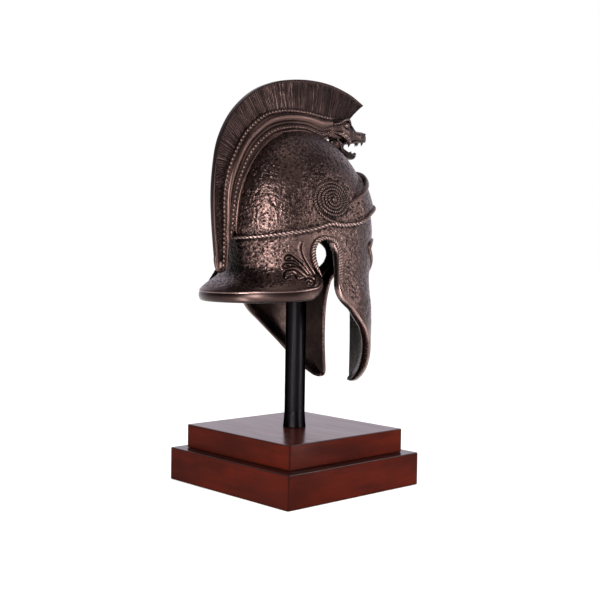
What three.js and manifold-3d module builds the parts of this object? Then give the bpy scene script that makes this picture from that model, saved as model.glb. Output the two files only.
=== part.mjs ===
// Crested bronze helmet on a black post and a stepped wooden plinth.
// Millimetres, z up, origin under the middle of the plinth, the face of the helmet towards -Y.
import * as THREE from 'three';
import { mergeVertices } from 'three/addons/utils/BufferGeometryUtils.js';
import Module from 'manifold-3d';

const wasm = await Module();
wasm.setup();

// Stand
const PLINTH_SIDE = 280;
const LOWER_TIER_HEIGHT = 51.7;
const UPPER_TIER_SIDE = 242.4;
const UPPER_TIER_HEIGHT = 37.2;
const TIER_CORNER = 3;
const TIER_EDGE = 2;
const SEAT_GAP = 0.3;
const POST_RADIUS = 14.8;
const COLLAR_RADIUS = 18.5;
const COLLAR_HEIGHT = 13;
const COLLAR_LIP = 4;

// Helmet shell
const BOWL_BASE = 399;
const BOWL_TOP = 558;
const BOWL_FULLNESS = 2.06;
const BOWL_REAR_FULLNESS = 0.19;
const SECTION_SQUARENESS = 2.08;
const WALL = 9;
const EDGE_WALL = 14;
const SLIT_WALL = 7.5;
const POST_TOP_DROP = 3.1;
const EAR_BLEND_FROM = 101;
const EAR_BLEND_TO = 115;

// Sections of the face and cheek guards: height, reach to the front, half width
const FACE_SECTIONS = [
  { z: 399, reach: 132, half: 101 },
  { z: 380, reach: 130, half: 102.5 },
  { z: 362, reach: 126, half: 107 },
  { z: 345, reach: 117, half: 112 },
  { z: 328, reach: 107, half: 118 },
  { z: 308, reach: 102, half: 124.5 },
  { z: 285, reach: 100.5, half: 130.5 },
  { z: 255, reach: 100, half: 132.5 },
  { z: 215, reach: 100.5, half: 131 },
  { z: 160, reach: 102, half: 127 },
];

// Sections of the neck guard: height, reach to the back, half width
const NECK_SECTIONS = [
  { z: 399, reach: 137, half: 101 },
  { z: 385, reach: 133, half: 100 },
  { z: 365, reach: 129, half: 99 },
  { z: 345, reach: 128, half: 101 },
  { z: 335, reach: 130.5, half: 104 },
  { z: 325, reach: 139, half: 108.5 },
  { z: 316, reach: 153, half: 114 },
  { z: 307, reach: 165, half: 119 },
  { z: 298, reach: 171.5, half: 122 },
  { z: 288, reach: 173, half: 123 },
];

// Line where the bowl ends and the face, ears and neck guard begin: degrees from the front, height
const BELT = [
  { turn: 0, z: 447 },
  { turn: 15, z: 445.5 },
  { turn: 30, z: 441 },
  { turn: 45, z: 434 },
  { turn: 54, z: 428 },
  { turn: 63, z: 419.5 },
  { turn: 74, z: 412 },
  { turn: 90, z: 409 },
  { turn: 99, z: 411 },
  { turn: 108, z: 412 },
  { turn: 117, z: 407 },
  { turn: 131, z: 399.5 },
  { turn: 145, z: 394 },
  { turn: 158, z: 390 },
  { turn: 180, z: 387 },
];

// Outlines on one side of the shell, each a run of [degrees from the front, height]
const EYE_UPPER = [[22.5, 362], [25.5, 377], [32, 388], [41, 386], [48, 377]];
const EYE_LOWER = [[22.5, 362], [24.5, 350], [30, 342], [38, 347], [44, 361], [48, 377]];
const EAR_ARCH = [[98.5, 371], [104, 378.5], [109.5, 380.5], [114.5, 379], [118.5, 374]];
const EAR_FRONT = [[98.5, 371], [95.5, 358], [97, 341], [98.5, 323], [99, 307]];
const CHEEK_REAR = [[96.5, 296], [91.5, 285], [85, 269], [77, 253], [64, 225], [47, 190], [35, 172.5], [27, 164]];
const EAR_REAR = [[118.5, 374], [121, 363], [120.5, 348], [119, 336], [117, 328]];
const NECK_RIM = [[117, 328], [117, 321], [120, 315.5], [126, 310.5], [133, 306], [143, 302], [155, 300], [180, 299]];
const SLIT_ARCH = [[0, 330], [5, 328.5], [9.5, 323], [12, 314]];
const SLIT_SIDE = [[12, 314], [14.4, 270], [15.8, 223], [16.4, 172]];
const CHEEK_TIP = [[16.4, 172], [17, 166.5], [19.5, 163], [23, 162.5], [27, 164]];
const NOSE_TO_SLIT = [[22.5, 362], [17, 338], [12, 314]];
const EYE_TO_TIP = [[48, 377], [52, 340], [50, 270], [34, 205]];
const BELT_STOPS = { nose: 21, temple: 50, ear: 95, neck: 121 };

// Cells of the shell grid, across each field and down it
const CELLS = { nose: 3, eye: 4, temple: 4, ear: 4, neck: 8, upper: 3, middle: 2, lower: 5, dome: 6, collar: 6 };

// Cast relief on the shell
const ROPE_RADIUS = 3.4;
const EAR_ROPE_RADIUS = 3.2;
const EYE_RIM_RADIUS = 3;
const RIM_ROLL_RADIUS = 7;
const FRONTLET_ROPE_RADIUS = 2.8;
const FRONTLET_LIFT = 4.5;
const FRONTLET_FADE = { low: 4, high: 8, from: 66, to: 84 };
const NOSE_RIDGE_RADIUS = 9;
const NOSE_RIDGE = [[0, 338], [0, 352], [0, 375], [0, 400], [0, 440]];
const FRONTLET_EDGE = [
  { turn: 0, z: 493 },
  { turn: 13, z: 491 },
  { turn: 30, z: 485 },
  { turn: 48, z: 474.5 },
  { turn: 57, z: 465.5 },
  { turn: 68, z: 453.5 },
  { turn: 76, z: 447.5 },
  { turn: 84, z: 446 },
];
const SPIRAL = { turn: 99.6, z: 446.8, wide: 36, tall: 29, turns: 3.5, rope: 2.7, steps: 9, inner: 0.2 };
const SPIRAL_BOSS_RADIUS = 5;
const PALMETTE_BOSS = { turn: 124.3, z: 327, radius: 6 };
const PALMETTE_LOBES = [
  { path: [[125, 336], [129, 348], [135, 357], [143, 361]], thick: 5.6 },
  { path: [[127, 332], [132, 341], [138, 347], [144.5, 346]], thick: 5.6 },
  { path: [[128, 327], [133, 333], [138, 336], [143, 333]], thick: 5.2 },
  { path: [[128, 323], [133, 325], [137, 324], [139, 320]], thick: 4.4 },
  { path: [[130, 378], [125.5, 366], [122.5, 350], [121.5, 338]], thick: 3.6 },
];
const LOBE_FORM = { tip: 0.6, sides: 6, sunk: 0.5 };

// Crest in the middle plane: underside, plume foot and plume edge of each station, as y and z,
// with the half width of the holder and the half thickness of the plume
const CREST = [
  { under: [-64, 553], foot: [-66, 586], edge: [-78, 636], half: 11.5, plume: 4.5 },
  { under: [-38, 540], foot: [-42, 588], edge: [-48, 639.5], half: 14, plume: 5 },
  { under: [-10, 548], foot: [-12, 590], edge: [-14, 639.5], half: 15, plume: 5.5 },
  { under: [16, 549], foot: [18, 590], edge: [22, 635.5], half: 15.5, plume: 5.5 },
  { under: [40, 545], foot: [47, 587], edge: [57, 627.5], half: 15.5, plume: 5.5 },
  { under: [63, 537], foot: [75, 579], edge: [92, 612.5], half: 15.5, plume: 5.5 },
  { under: [86, 521], foot: [100, 563], edge: [122, 590], half: 15.5, plume: 5.5 },
  { under: [105, 500], foot: [121, 542], edge: [145, 563.5], half: 15, plume: 5 },
  { under: [119, 472], foot: [138, 513], edge: [162, 529], half: 14, plume: 5 },
  { under: [127, 445], foot: [150, 484], edge: [170, 490], half: 13, plume: 4.5 },
  { under: [131, 421], foot: [155.5, 450], edge: [172.8, 450], half: 12.5, plume: 4.5 },
  { under: [134, 400], foot: [154.5, 412], edge: [171.5, 411], half: 11.5, plume: 4 },
  { under: [142.5, 376], foot: [152, 378], edge: [168, 376], half: 9, plume: 4 },
  { under: [144.5, 341], foot: [151.5, 343], edge: [164, 343], half: 7.5, plume: 3.5 },
];
const PLUME_FRONT = [
  { foot: [-113.5, 589.5], edge: [-143.5, 613.5], plume: 3.5 },
  { foot: [-92, 587.5], edge: [-113, 627], plume: 4 },
];
const CREST_STEPS = 2;
const LOCK_STEPS = 3;
const LOCK_DEPTH = 1.3;
const TAIL_WRAP = { y: 155, z: 342, wide: 6.5, deep: 10.5, tall: 7 };

// Outline of the holder from underside to plume foot: share of the way up, share of the half width
const HOLDER_OUTLINE = [
  { up: 0, wide: 1 },
  { up: 0.38, wide: 1 },
  { up: 0.48, wide: 0.92 },
  { up: 0.57, wide: 0.8 },
  { up: 0.7, wide: 0.86 },
  { up: 0.82, wide: 0.68 },
  { up: 0.91, wide: 0.7 },
  { up: 1, wide: 0.5 },
];

// Beast head at the front of the crest: y and z of the middle, half height and half width of each section
const HEAD = [
  { y: -56, z: 566, tall: 15, wide: 10.5 },
  { y: -78, z: 567.5, tall: 17, wide: 14 },
  { y: -96, z: 569, tall: 17, wide: 16 },
  { y: -110, z: 565.5, tall: 13, wide: 12.5 },
  { y: -126, z: 560.5, tall: 9.5, wide: 9.5 },
  { y: -142, z: 560.5, tall: 8.5, wide: 9 },
  { y: -150, z: 560, tall: 7, wide: 7.5 },
  { y: -154, z: 559.5, tall: 3.5, wide: 4 },
];
const JAW = [
  { y: -74, z: 556, tall: 9, wide: 10 },
  { y: -86, z: 545, tall: 8, wide: 11 },
  { y: -98, z: 536.5, tall: 6.5, wide: 10 },
  { y: -112, z: 527.5, tall: 5, wide: 8.5 },
  { y: -122, z: 523, tall: 3.2, wide: 5.5 },
];
const HEAD_SIDES = 8;
const EARS = { foot: [11.5, -92, 576], tip: [16, -86, 592], radius: 6.5 };
const BROWS = { foot: [8, -104, 579], tip: [15.5, -96, 582], radius: 3.4 };
const FANGS = [
  { foot: [6.5, -137, 555], tip: [6.5, -139, 544.5], radius: 2.6 },
  { foot: [6.5, -124, 554], tip: [6.5, -125, 543.5], radius: 2.4 },
  { foot: [5, -113, 529], tip: [5, -114, 537.5], radius: 2.3 },
  { foot: [3.5, -119.5, 525], tip: [3.5, -121, 532.5], radius: 2.1 },
];

// Finishes
const BRONZE = { color: 0x5b463f, roughness: 0.42, metalness: 0.85 };
const DARK_BRONZE = { color: 0x493833, roughness: 0.46, metalness: 0.85 };
const PLUME_BRONZE = { color: 0x3f302c, roughness: 0.5, metalness: 0.8 };
const MAHOGANY = { color: 0x5e1f14, roughness: 0.35, metalness: 0 };
const BLACK_LACQUER = { color: 0x17120f, roughness: 0.25, metalness: 0.4 };

// Value of one column of a table at a given key, along a smooth curve through the rows
function columnAt(rows, key, column, at) {
  const falling = rows[0][key] > rows[rows.length - 1][key];
  const list = falling ? [...rows].reverse() : rows;
  const x = list.map((row) => row[key]);
  const y = list.map((row) => row[column]);
  const last = x.length - 1;
  const inside = Math.min(Math.max(at, x[0]), x[last]);
  let i = 0;
  while (i < last - 1 && inside > x[i + 1]) {
    i += 1;
  }
  const secant = (k) => (y[k + 1] - y[k]) / (x[k + 1] - x[k]);
  const slope = (k) => {
    if (k === 0 || k === last) {
      return secant(k === 0 ? 0 : last - 1);
    }
    const product = secant(k - 1) * secant(k);
    return product <= 0 ? 0 : (2 * product) / (secant(k - 1) + secant(k));
  };
  const step = x[i + 1] - x[i];
  const t = (inside - x[i]) / step;
  const rise = t * t * (3 - 2 * t);
  return y[i] * (1 - rise) + y[i + 1] * rise
    + step * (slope(i) * t * (1 - t) * (1 - t) - slope(i + 1) * t * t * (1 - t));
}

// How far the forehead plate stands out of the bowl at an angle and a height
function frontletLift(turn, z) {
  const { low, high, from, to } = FRONTLET_FADE;
  const across = 1 - THREE.MathUtils.smoothstep(turn, from, to);
  const belt = columnAt(BELT, 'turn', 'z', turn);
  const edge = columnAt(FRONTLET_EDGE, 'turn', 'z', turn);
  const above = THREE.MathUtils.smoothstep(z, belt - low, belt);
  const below = 1 - THREE.MathUtils.smoothstep(z, edge - high / 2, edge + high / 2);
  return FRONTLET_LIFT * across * above * below;
}

// Point of the outer shell surface at an angle from the front and a height
function shellPoint(turn, z) {
  const angle = THREE.MathUtils.degToRad(turn);
  const side = Math.abs(Math.sin(angle));
  const ahead = Math.cos(angle);
  const fullness = BOWL_FULLNESS - BOWL_REAR_FULLNESS * ahead;
  const climb = THREE.MathUtils.clamp((z - BOWL_BASE) / (BOWL_TOP - BOWL_BASE), 0, 1);
  const shrink = (1 - climb ** fullness) ** (1 / fullness);
  const folded = Math.abs(THREE.MathUtils.euclideanModulo(turn + 180, 360) - 180);
  const blend = THREE.MathUtils.smoothstep(folded, EAR_BLEND_FROM, EAR_BLEND_TO);
  const faceHalf = columnAt(FACE_SECTIONS, 'z', 'half', z);
  const neckHalf = columnAt(NECK_SECTIONS, 'z', 'half', z);
  const half = THREE.MathUtils.lerp(faceHalf, neckHalf, blend);
  const reach = columnAt(ahead > 0 ? FACE_SECTIONS : NECK_SECTIONS, 'z', 'reach', z);
  const p = SECTION_SQUARENESS;
  const bare = shrink * ((side / half) ** p + (Math.abs(ahead) / reach) ** p) ** (-1 / p);
  const radius = bare + frontletLift(folded, z);
  return new THREE.Vector3(-radius * Math.sin(angle), -radius * ahead, z);
}

// Outward direction of the shell surface at an angle and a height
function shellNormal(turn, z) {
  const across = shellPoint(turn + 0.5, z).sub(shellPoint(turn - 0.5, z));
  const along = shellPoint(turn, z + 0.5).sub(shellPoint(turn, z - 0.5));
  return across.cross(along).normalize().negate();
}

// Even samples along a smooth run of [degrees, height] points
function sampleRun(run, cells) {
  const curve = new THREE.SplineCurve(run.map(([turn, z]) => new THREE.Vector2(turn * 1.8, z)));
  return curve.getSpacedPoints(cells).map((point) => [point.x / 1.8, point.y]);
}

// Even samples of the belt line between two angles
function sampleBelt(from, to, cells) {
  return Array.from({ length: cells + 1 }, (_, i) => {
    const turn = THREE.MathUtils.lerp(from, to, i / cells);
    return [turn, columnAt(BELT, 'turn', 'z', turn)];
  });
}

// Grid that fills the field between four edge runs
function fillField(top, bottom, left, right) {
  const across = top.length - 1;
  const down = left.length - 1;
  return left.map((_, row) => top.map((__, column) => [0, 1].map((k) => {
    const u = column / across;
    const v = row / down;
    const sides = (1 - v) * top[column][k] + v * bottom[column][k] + (1 - u) * left[row][k] + u * right[row][k];
    const corners = (1 - u) * (1 - v) * top[0][k] + u * (1 - v) * top[across][k]
      + (1 - u) * v * bottom[0][k] + u * v * bottom[across][k];
    return sides - corners;
  })));
}

// Fields of one half of the shell, as grids of [degrees, height]
function shellFields() {
  const noseTop = sampleBelt(0, BELT_STOPS.nose, CELLS.nose);
  const eyeTop = sampleBelt(BELT_STOPS.nose, BELT_STOPS.temple, CELLS.eye);
  const templeTop = sampleBelt(BELT_STOPS.temple, BELT_STOPS.ear, CELLS.temple);
  const earTop = sampleBelt(BELT_STOPS.ear, BELT_STOPS.neck, CELLS.ear);
  const neckTop = sampleBelt(BELT_STOPS.neck, 180, CELLS.neck);
  const innerBrow = sampleRun([noseTop.at(-1), EYE_UPPER[0]], CELLS.upper);
  const outerBrow = sampleRun([eyeTop.at(-1), EYE_UPPER.at(-1)], CELLS.upper);
  const noseSide = sampleRun(NOSE_TO_SLIT, CELLS.middle);
  const slitSide = sampleRun(SLIT_SIDE, CELLS.lower);
  const middleLine = sampleRun([noseTop[0], SLIT_ARCH[0]], CELLS.upper + CELLS.middle);
  const tip = sampleRun(CHEEK_TIP, CELLS.eye + CELLS.temple);
  const frontTip = tip.slice(0, CELLS.eye + 1);
  const rearTip = tip.slice(CELLS.eye);
  const cheekLine = sampleRun([...EYE_TO_TIP, frontTip.at(-1)], CELLS.middle + CELLS.lower);
  const earLead = sampleRun([templeTop.at(-1), EAR_ARCH[0]], CELLS.upper);
  const neckLead = sampleRun([earTop.at(-1), EAR_ARCH.at(-1)], CELLS.upper);
  const cheekEdge = sampleRun([...EAR_FRONT, ...CHEEK_REAR], CELLS.middle + CELLS.lower);
  const earRear = sampleRun(EAR_REAR, CELLS.collar);
  const rearLine = sampleRun([neckTop.at(-1), NECK_RIM.at(-1)], CELLS.upper + CELLS.collar);
  const belt = [noseTop, eyeTop.slice(1), templeTop.slice(1), earTop.slice(1), neckTop.slice(1)].flat();
  const dome = Array.from({ length: CELLS.dome + 1 }, (_, row) => belt.map(([turn, z]) => {
    const left = 1 - Math.cos((row / CELLS.dome) * Math.PI / 2);
    return [turn, BOWL_TOP - (BOWL_TOP - z) * left];
  }));
  return [
    dome,
    fillField(noseTop, sampleRun(SLIT_ARCH, CELLS.nose), middleLine, [...innerBrow, ...noseSide.slice(1)]),
    fillField(eyeTop, sampleRun(EYE_UPPER, CELLS.eye), innerBrow, outerBrow),
    fillField(sampleRun(EYE_LOWER, CELLS.eye), frontTip, [...noseSide, ...slitSide.slice(1)], cheekLine),
    fillField(templeTop, rearTip, [...outerBrow, ...cheekLine.slice(1)], [...earLead, ...cheekEdge.slice(1)]),
    fillField(earTop, sampleRun(EAR_ARCH, CELLS.ear), earLead, neckLead),
    fillField(neckTop, sampleRun(NECK_RIM, CELLS.neck), [...neckLead, ...earRear.slice(1)], rearLine),
  ];
}

// Triangles and welded points of a set of grids of points
class Skin {
  constructor() {
    this.points = [];
    this.triangles = [];
    this.lookup = new Map();
  }

  index(point) {
    const key = [point.x, point.y, point.z].map((value) => Math.round(value * 50) + 0).join(' ');
    if (!this.lookup.has(key)) {
      this.lookup.set(key, this.points.length);
      this.points.push(point.clone());
    }
    return this.lookup.get(key);
  }

  face(a, b, c) {
    if (a !== b && b !== c && c !== a) {
      this.triangles.push([a, b, c]);
    }
  }

  quad(a, b, c, d) {
    this.face(a, b, c);
    this.face(a, c, d);
  }

  grid(rows) {
    const ids = rows.map((row) => row.map((point) => this.index(point)));
    for (let i = 0; i + 1 < ids.length; i += 1) {
      for (let j = 0; j + 1 < ids[i].length; j += 1) {
        this.quad(ids[i][j], ids[i][j + 1], ids[i + 1][j + 1], ids[i + 1][j]);
      }
    }
  }

  normals() {
    const sums = this.points.map(() => new THREE.Vector3());
    for (const [a, b, c] of this.triangles) {
      const first = this.points[b].clone().sub(this.points[a]);
      const second = this.points[c].clone().sub(this.points[a]);
      const facing = first.cross(second);
      [a, b, c].forEach((id) => sums[id].add(facing));
    }
    return sums.map((sum) => sum.normalize());
  }

  openEdges() {
    const edges = this.triangles.flatMap(([a, b, c]) => [[a, b], [b, c], [c, a]]);
    const known = new Set(edges.map(([a, b]) => `${a} ${b}`));
    return edges.filter(([a, b]) => !known.has(`${b} ${a}`));
  }

  geometry() {
    const geometry = new THREE.BufferGeometry();
    const flat = this.points.flatMap((point) => point.toArray());
    geometry.setAttribute('position', new THREE.Float32BufferAttribute(flat, 3));
    geometry.setIndex(this.triangles.flat());
    return geometry;
  }
}

// Points of a grid of [degrees, height] on the shell, on either side of the middle plane
function gridPoints(field, mirrored) {
  return field.map((row) => {
    const points = row.map(([turn, z]) => shellPoint(turn, z));
    points.forEach((point) => {
      point.x *= mirrored ? -1 : 1;
    });
    return mirrored ? points.reverse() : points;
  });
}

// Outer skin of some fields of the shell, both sides
function outerSkin(fields) {
  const skin = new Skin();
  for (const field of fields) {
    skin.grid(gridPoints(field, false));
    skin.grid(gridPoints(field, true));
  }
  return skin;
}

// Wall of the shell: the outer skin, the inner skin a wall away, and a strip along every edge
function shellWall() {
  const skin = outerSkin(shellFields());
  const normals = skin.normals();
  const edges = skin.openEdges();
  const onEdge = new Set(edges.flat());
  const count = skin.points.length;
  const outerTriangles = [...skin.triangles];
  skin.points.slice(0, count).forEach((point, id) => {
    const nearSlit = Math.abs(point.x) < POST_RADIUS * 2.4 && point.y < 0;
    const edgeWall = nearSlit ? SLIT_WALL : EDGE_WALL;
    const wall = onEdge.has(id) ? edgeWall : WALL;
    skin.points.push(point.clone().addScaledVector(normals[id], -wall));
  });
  outerTriangles.forEach(([a, b, c]) => skin.face(a + count, c + count, b + count));
  edges.forEach(([a, b]) => skin.quad(b, a, a + count, b + count));
  return skin.geometry();
}

// Block filling the bowl, a little larger than the bowl itself
function bowlBlock(extra) {
  const skin = outerSkin(shellFields().slice(0, 1));
  const normals = skin.normals();
  skin.points.forEach((point, id) => point.addScaledVector(normals[id], extra));
  const middle = skin.points.length;
  skin.points.push(new THREE.Vector3(0, 0, BOWL_BASE));
  skin.openEdges().forEach(([a, b]) => skin.face(b, a, middle));
  return skin.geometry();
}

// Closed body through a row of rings that all have the same number of points
function loft(rings, closed = false) {
  const skin = new Skin();
  const ids = rings.map((ring) => ring.map((point) => skin.points.push(point.clone()) - 1));
  const rows = closed ? [...ids, ids[0]] : ids;
  for (let i = 0; i + 1 < rows.length; i += 1) {
    rows[i].forEach((id, j) => {
      const next = (j + 1) % rows[i].length;
      skin.quad(id, rows[i][next], rows[i + 1][next], rows[i + 1][j]);
    });
  }
  if (!closed) {
    [ids[0], [...ids.at(-1)].reverse()].forEach((ring) => {
      const middle = new THREE.Vector3();
      ring.forEach((id) => middle.addScaledVector(skin.points[id], 1 / ring.length));
      skin.points.push(middle);
      const hub = skin.points.length - 1;
      ring.forEach((id, j) => skin.face(ring[(j + 1) % ring.length], id, hub));
    });
  }
  return skin.geometry();
}

// Round bar along points, each with its own outward direction and radius
function bar(points, outs, radii, sides, closed = false) {
  const last = points.length - 1;
  const rings = points.map((point, i) => {
    const before = points[closed ? (i + last) % (last + 1) : Math.max(i - 1, 0)];
    const after = points[closed ? (i + 1) % (last + 1) : Math.min(i + 1, last)];
    const ahead = after.clone().sub(before).normalize();
    const across = ahead.clone().cross(outs[i]).normalize();
    const out = across.clone().cross(ahead).normalize();
    return Array.from({ length: sides }, (_, k) => {
      const angle = (k / sides) * Math.PI * 2;
      return point.clone()
        .addScaledVector(out, radii[i] * Math.cos(angle))
        .addScaledVector(across, radii[i] * Math.sin(angle));
    });
  });
  return loft(rings, closed);
}

// Raised bar that follows a run of [degrees, height] on the shell, tapered to a share of its radius at the tip
// and sunk by a share of its radius
function relief(run, radius, { tip = 1, sides = 5, closed = false, sunk = 0 } = {}) {
  const outs = run.map(([turn, z]) => shellNormal(turn, z));
  const points = run.map(([turn, z], i) => shellPoint(turn, z).addScaledVector(outs[i], -radius * sunk));
  const radii = run.map((_, i) => radius * THREE.MathUtils.lerp(1, tip, i / (run.length - 1)));
  return bar(points, outs, radii, sides, closed);
}

// The run from one side carried on over the middle plane to the other side
function bothSides(run) {
  const mirrored = run.slice(0, -1).reverse().map(([turn, z]) => [run.at(-1)[0] * 2 - turn, z]);
  return [...run, ...mirrored];
}

// Spiral of the temple ornament, from the rim to the centre
function spiralRun() {
  const total = SPIRAL.turns * SPIRAL.steps;
  return Array.from({ length: total + 1 }, (_, i) => {
    const share = THREE.MathUtils.lerp(1, SPIRAL.inner, i / total);
    const angle = -Math.PI / 2 + (i / SPIRAL.steps) * Math.PI * 2;
    const degrees = THREE.MathUtils.radToDeg(SPIRAL.wide / FACE_SECTIONS[0].half);
    return [SPIRAL.turn - degrees * share * Math.cos(angle), SPIRAL.z + SPIRAL.tall * share * Math.sin(angle)];
  });
}

// Round boss on the shell
function boss(turn, z, radius) {
  const ball = new THREE.SphereGeometry(radius, 8, 5);
  return ball.translate(...shellPoint(turn, z).toArray());
}

// Body made ready for joining and cutting
function solid(geometry) {
  const plain = new THREE.BufferGeometry();
  plain.setAttribute('position', geometry.getAttribute('position').clone());
  plain.setIndex(geometry.getIndex());
  const welded = mergeVertices(plain, 1e-4);
  return new wasm.Manifold(new wasm.Mesh({
    numProp: 3,
    vertProperties: new Float32Array(welded.getAttribute('position').array),
    triVerts: new Uint32Array(welded.getIndex().array),
  }));
}

// The same body on the other side of the middle plane
function mirror(geometry) {
  const copy = geometry.clone().scale(-1, 1, 1);
  const index = copy.getIndex();
  for (let i = 0; i < index.count; i += 3) {
    const held = index.getX(i);
    index.setX(i, index.getX(i + 1));
    index.setX(i + 1, held);
  }
  return copy;
}

// One solid from many bodies that touch
function fuse(geometries) {
  return geometries.map(solid).reduce((whole, next) => whole.add(next));
}

// Mesh from a solid
function meshOf(name, body, finish) {
  const { vertProperties, triVerts } = body.getMesh();
  const geometry = new THREE.BufferGeometry();
  geometry.setAttribute('position', new THREE.Float32BufferAttribute(vertProperties, 3));
  geometry.setIndex([...triVerts]);
  geometry.computeVertexNormals();
  const mesh = new THREE.Mesh(geometry, new THREE.MeshStandardMaterial(finish));
  mesh.name = name;
  return mesh;
}

// Square tier of the plinth with eased corners and edges
function tier(side, bottom, height) {
  const levels = [
    { z: 0, inset: TIER_EDGE },
    { z: TIER_EDGE, inset: 0 },
    { z: height - TIER_EDGE, inset: 0 },
    { z: height, inset: TIER_EDGE },
  ];
  return loft(levels.map(({ z, inset }) => {
    const half = side / 2 - inset;
    const near = half - TIER_CORNER;
    const corners = [[1, 1], [-1, 1], [-1, -1], [1, -1]];
    return corners.flatMap(([a, b], turn) => {
      const first = turn % 2 === 0 ? [a * half, b * near] : [a * near, b * half];
      const second = turn % 2 === 0 ? [a * near, b * half] : [a * half, b * near];
      return [first, second].map(([x, y]) => new THREE.Vector3(x, y, bottom + z));
    });
  }));
}

// Turned body from pairs of radius and height
function turned(outline, sides) {
  const points = outline.map(([radius, z]) => new THREE.Vector2(radius, z));
  return new THREE.LatheGeometry(points, sides).rotateX(Math.PI / 2);
}

// All relief cast with the shell on one side
function sideRelief() {
  const archRun = sampleRun([...EAR_FRONT.slice(0, 5).reverse(), ...EAR_ARCH.slice(1), ...EAR_REAR.slice(1)], 14);
  const eyeRun = sampleRun([...EYE_UPPER, ...EYE_LOWER.slice(1, -1).reverse(), EYE_UPPER[0]], 12).slice(0, -1);
  const lobes = PALMETTE_LOBES.map(({ path, thick }) => relief(sampleRun(path, 3), thick, LOBE_FORM));
  return [
    relief(archRun, EAR_ROPE_RADIUS),
    relief(eyeRun, EYE_RIM_RADIUS, { closed: true }),
    relief(spiralRun(), SPIRAL.rope, { tip: 0.8, sides: 4 }),
    boss(SPIRAL.turn, SPIRAL.z, SPIRAL_BOSS_RADIUS),
    boss(PALMETTE_BOSS.turn, PALMETTE_BOSS.z, PALMETTE_BOSS.radius),
    ...lobes,
  ];
}

// Rolled rim of the neck guard, lying in the thickness of the edge
function rimRoll() {
  const half = sampleRun(NECK_RIM.slice(1), 9);
  const run = bothSides(half);
  const outs = run.map(([turn, z]) => shellNormal(turn, z));
  const points = run.map(([turn, z], i) => shellPoint(turn, z).addScaledVector(outs[i], -EDGE_WALL * 0.45));
  return bar(points, outs, run.map(() => RIM_ROLL_RADIUS), 7);
}

// Bowl, face, cheek guards and neck guard with all their relief
function helmetShell() {
  const frontletRun = FRONTLET_EDGE.map(({ turn, z }) => [turn, z]).reverse();
  const beltRope = bothSides(sampleBelt(0, 180, 22)).slice(0, -1);
  const side = sideRelief();
  return fuse([
    shellWall(),
    rimRoll(),
    relief(beltRope, ROPE_RADIUS, { closed: true }),
    relief(NOSE_RIDGE, NOSE_RIDGE_RADIUS, { tip: 0.4, sides: 6 }),
    relief(bothSides(sampleRun(frontletRun, 9)), FRONTLET_ROPE_RADIUS),
    ...side,
    ...side.map(mirror),
  ]);
}

// Stations of the crest table with even steps between them
function crestStations(rows, steps) {
  const total = (rows.length - 1) * steps;
  const curveOf = (column) => new THREE.SplineCurve(rows.map((row) => new THREE.Vector2(...row[column])));
  const columns = ['under', 'foot', 'edge'].filter((column) => rows[0][column]);
  const curves = Object.fromEntries(columns.map((column) => [column, curveOf(column)]));
  return Array.from({ length: total + 1 }, (_, i) => {
    const at = i / total;
    const row = Math.min(Math.floor(at * (rows.length - 1)), rows.length - 2);
    const share = at * (rows.length - 1) - row;
    const station = Object.fromEntries(columns.map((column) => [column, curves[column].getPoint(at)]));
    for (const column of ['half', 'plume']) {
      station[column] = THREE.MathUtils.lerp(rows[row][column], rows[row + 1][column], share);
    }
    return station;
  });
}

// Ring across the crest between two points of the middle plane, from shares up and half widths
function crossRing(low, high, outline) {
  const side = outline.map(({ up, wide }) => {
    const point = low.clone().lerp(high, up);
    return new THREE.Vector3(-wide, point.x, point.y);
  });
  const otherSide = [...side].reverse().map((point) => new THREE.Vector3(-point.x, point.y, point.z));
  return [...side, ...otherSide];
}

// Moulded body that carries the plume, from the beast's neck to the tail
function holderBody() {
  const stations = crestStations(CREST, CREST_STEPS);
  return loft(stations.map(({ under, foot, half }) => {
    const outline = HOLDER_OUTLINE.map(({ up, wide }) => ({ up, wide: wide * half }));
    return crossRing(under, foot, outline);
  }));
}

// Plume in upright locks, thin at the outer edge, its foot a gap above the holder
function plumeBody(gap, swell) {
  const rows = [...PLUME_FRONT, ...CREST.map(({ foot, edge, plume }) => ({ foot, edge, plume }))];
  const stations = crestStations(rows.map((row) => ({ ...row, half: 0 })), LOCK_STEPS);
  return loft(stations.map(({ foot, edge, plume }, i) => {
    const lift = gap / foot.distanceTo(edge);
    const groove = i % 2 === 0 ? 0 : LOCK_DEPTH;
    const outline = [
      { up: lift, wide: plume + swell },
      { up: 0.45, wide: plume - groove + swell },
      { up: 0.94, wide: plume * 0.85 - groove * 0.8 + swell },
      { up: 1, wide: plume * 0.5 + swell },
    ];
    return crossRing(foot, edge, outline);
  }));
}

// Oval rings along the head or the jaw
function ovalRings(rows) {
  return rows.map(({ y, z, tall, wide }) => Array.from({ length: HEAD_SIDES }, (_, k) => {
    const angle = (k / HEAD_SIDES) * Math.PI * 2;
    return new THREE.Vector3(-wide * Math.sin(angle), y, z + tall * Math.cos(angle));
  }));
}

// Tapered spike from foot to tip
function spike({ foot, tip, radius }) {
  const from = new THREE.Vector3(...foot);
  const to = new THREE.Vector3(...tip);
  const out = new THREE.Vector3(0, 1, 0);
  return bar([from, from.clone().lerp(to, 0.6), to], [out, out, out], [radius, radius * 0.7, radius * 0.15], 5);
}

// Beast head with open jaws, ears, brows and fangs
function headBodies() {
  const pairs = [EARS, BROWS, ...FANGS].map(spike);
  return [loft(ovalRings(HEAD)), loft(ovalRings(JAW)), ...pairs, ...pairs.map(mirror)];
}

// End of the tail, rounded below the plume
function tailWrap() {
  const ball = new THREE.SphereGeometry(1, 8, 6).scale(TAIL_WRAP.wide, TAIL_WRAP.deep, TAIL_WRAP.tall);
  return ball.translate(0, TAIL_WRAP.y, TAIL_WRAP.z);
}

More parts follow.
